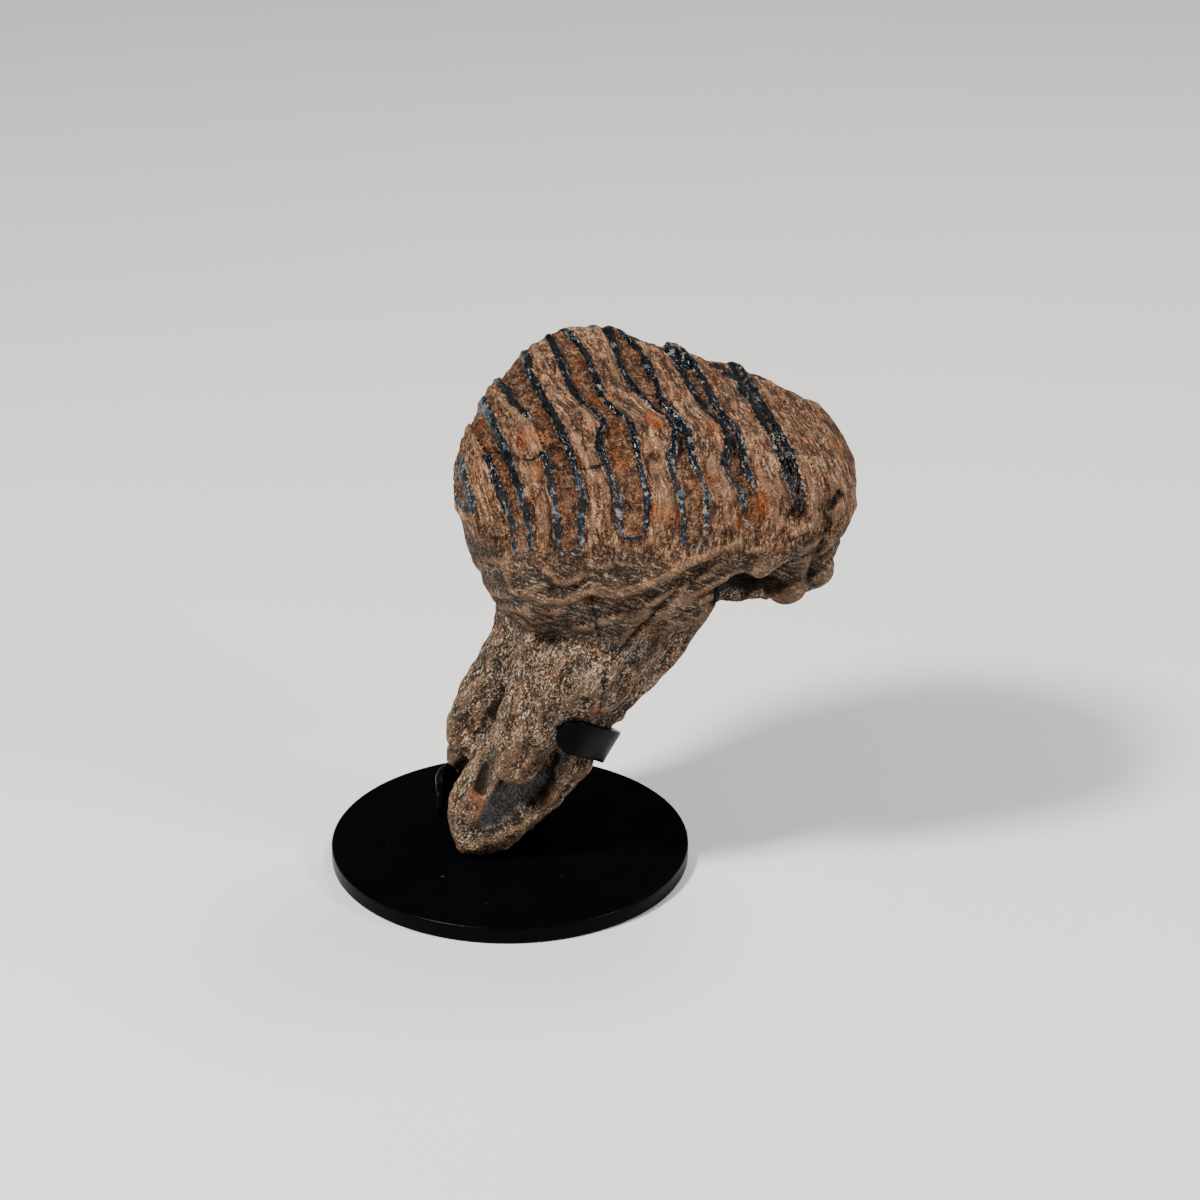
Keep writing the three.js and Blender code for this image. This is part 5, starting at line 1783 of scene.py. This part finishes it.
        piece = make_piece(f"stand_{name.value}", points, faces)
        merge_doubles(piece)
        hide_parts(name.value)
        return piece

    def arm_point(self, reach: Array, places: Array, at: float, across: float, depth: float) -> Array:
        """A point of a bent bar.

        Args:
            reach: Length up to each point of its mid-line.
            places: Points of the mid-line.
            at: Place along the bar.
            across: Place across its width.
            depth: Place through its thickness.

        Returns:
            The point.
        """
        def point(s: float) -> Array:
            """The mid-line at one length."""
            return np.array([np.interp(s, reach, places[:, k]) for k in range(3)])
        centre = point(at)
        step = 0.4
        along = point(min(at + step, reach[-1])) - point(max(at - step, 0.0))
        along /= np.linalg.norm(along)
        up = self.lean(centre)
        up -= along * up.dot(along)
        up /= np.linalg.norm(up)
        return centre + up * across + np.cross(up, along) * depth


def smooth_run(line: tuple[Point, ...], samples: int = 40) -> tuple[Array, Array]:
    """Runs a centripetal curve through points.

    Args:
        line: The points.
        samples: Samples between two of them.

    Returns:
        The length up to each sample, and the samples.
    """
    p = np.array(line, float)
    p = np.concatenate(([2 * p[0] - p[1]], p, [2 * p[-1] - p[-2]]))
    places = []
    for p0, p1, p2, p3 in zip(p[:-3], p[1:-2], p[2:-1], p[3:]):
        d0, d1, d2 = (max(np.linalg.norm(b - a) ** 0.5, 1e-4) for a, b in ((p0, p1), (p1, p2), (p2, p3)))
        m1 = ((p1 - p0) / d0 - (p2 - p0) / (d0 + d1) + (p2 - p1) / d1) * d1
        m2 = ((p2 - p1) / d1 - (p3 - p1) / (d1 + d2) + (p3 - p2) / d2) * d1
        for t in np.arange(samples) / samples:
            places.append((2 * t ** 3 - 3 * t ** 2 + 1) * p1 + (t ** 3 - 2 * t ** 2 + t) * m1
                          + (3 * t ** 2 - 2 * t ** 3) * p2 + (t ** 3 - t ** 2) * m2)
    places = np.array(places + [p[-2]])
    reach = np.concatenate(([0.0], np.cumsum(np.linalg.norm(np.diff(places, axis=0), axis=1))))
    return reach, places


def merge_doubles(piece: bpy.types.Object) -> None:
    """Welds the vertices of a mesh that share a place, and turns its faces outwards.

    Args:
        piece: The piece.
    """
    import bmesh
    soft = bmesh.new()
    soft.from_mesh(piece.data)
    bmesh.ops.remove_doubles(soft, verts=soft.verts, dist=1e-7)
    bmesh.ops.recalc_face_normals(soft, faces=soft.faces)
    soft.to_mesh(piece.data)
    soft.free()


# ---------------------------------------------------------------- the studio
@dataclass(frozen=True)
class Studio:
    """A plain pale floor, soft lights and the camera."""

    look_at: Point = (25.24, 0.0, 79.64)
    distance: float = 1300.0
    pitch: float = 26.04
    lens: float = 142.554
    floor: Colour = (0.66, 0.65, 0.64)
    world: Colour = (0.85, 0.86, 0.88)
    world_strength: float = 0.07

    def build(self) -> None:
        """Makes the floor, the lights and the camera."""
        self.make_floor()
        self.make_world()
        self.soft_box("key_light", (-560, -400, 940), 180, 28.5, (1.0, 0.97, 0.93))
        self.soft_box("top_light", (420, 380, 900), 300, 8.0, (0.96, 0.98, 1.0))
        self.soft_box("side_light", (900, -420, 560), 200, 9.0, (0.95, 0.97, 1.0))
        self.make_camera()

    def make_floor(self) -> None:
        """The pale floor."""
        reach = 9000.0
        corners = np.array([(-reach, -reach, 0), (reach, -reach, 0), (reach, reach, 0), (-reach, reach, 0)])
        piece = make_piece("floor", corners, [(0, 1, 2, 3)])
        material = bpy.data.materials.new("pale_floor")
        material.use_nodes = True
        w = Wiring(material.node_tree)
        shader = material.node_tree.nodes["Principled BSDF"]
        tone = w.ramp(w.noise(w.place(), 0.004, 2.0, 0.5), 0.3, 0.7)
        w.feed(shader.inputs["Base Color"], w.mix(tone, self.floor, tuple(c * 1.02 for c in self.floor)))
        w.feed(shader.inputs["Roughness"], 0.75)
        piece.data.materials.append(material)

    def make_world(self) -> None:
        """The soft light from all round."""
        world = bpy.data.worlds.new("studio")
        world.use_nodes = True
        ground = world.node_tree.nodes["Background"]
        ground.inputs["Color"].default_value = (*self.world, 1.0)
        ground.inputs["Strength"].default_value = self.world_strength
        bpy.context.scene.world = world

    def soft_box(self, name: str, at: Point, size: float, power: float, colour: Colour) -> None:
        """Hangs a soft light that faces the tooth.

        Args:
            name: Name of the light.
            at: Its place in millimetres.
            size: Its width in millimetres.
            power: Its power in watts.
            colour: Its colour.
        """
        light = bpy.data.lights.new(name, "AREA")
        light.shape = "SQUARE"
        light.size = size * MM
        light.energy = power
        light.color = colour
        lamp = bpy.data.objects.new(name, light)
        lamp.location = Vector(at) * MM
        lamp.rotation_euler = (Vector(self.look_at) * MM - lamp.location).to_track_quat("-Z", "Y").to_euler()
        bpy.context.scene.collection.objects.link(lamp)

    def make_camera(self) -> None:
        """The camera, looking a little down on the long side."""
        camera = bpy.data.cameras.new("camera")
        camera.lens = self.lens
        camera.sensor_width = 36.0
        camera.clip_start = 0.05
        camera.clip_end = 60.0
        piece = bpy.data.objects.new("camera", camera)
        pitch = math.radians(self.pitch)
        away = Vector((0, -math.cos(pitch), math.sin(pitch))) * self.distance
        piece.location = (Vector(self.look_at) + away) * MM
        piece.rotation_euler = (math.radians(90) - pitch, 0, 0)
        bpy.context.scene.collection.objects.link(piece)
        bpy.context.scene.camera = piece


def main() -> None:
    """Builds the object and the studio."""
    logging.basicConfig(level=logging.INFO, format="%(name)s: %(message)s")
    effects = Effects.build()
    tooth = FossilTooth(ToothForm(), FossilFinish()).build(effects)
    LOG.info("%s: %d vertices, %d quads", tooth.name, len(tooth.data.vertices), len(tooth.data.polygons))
    for piece in DisplayStand(BlackPaint("satin_black")).build(effects):
        LOG.info("%s: %d faces", piece.name, len(piece.data.polygons))
    Studio().build()
    LOG.info("studio: floor, lights and camera")


if __name__ == "__main__":
    main()
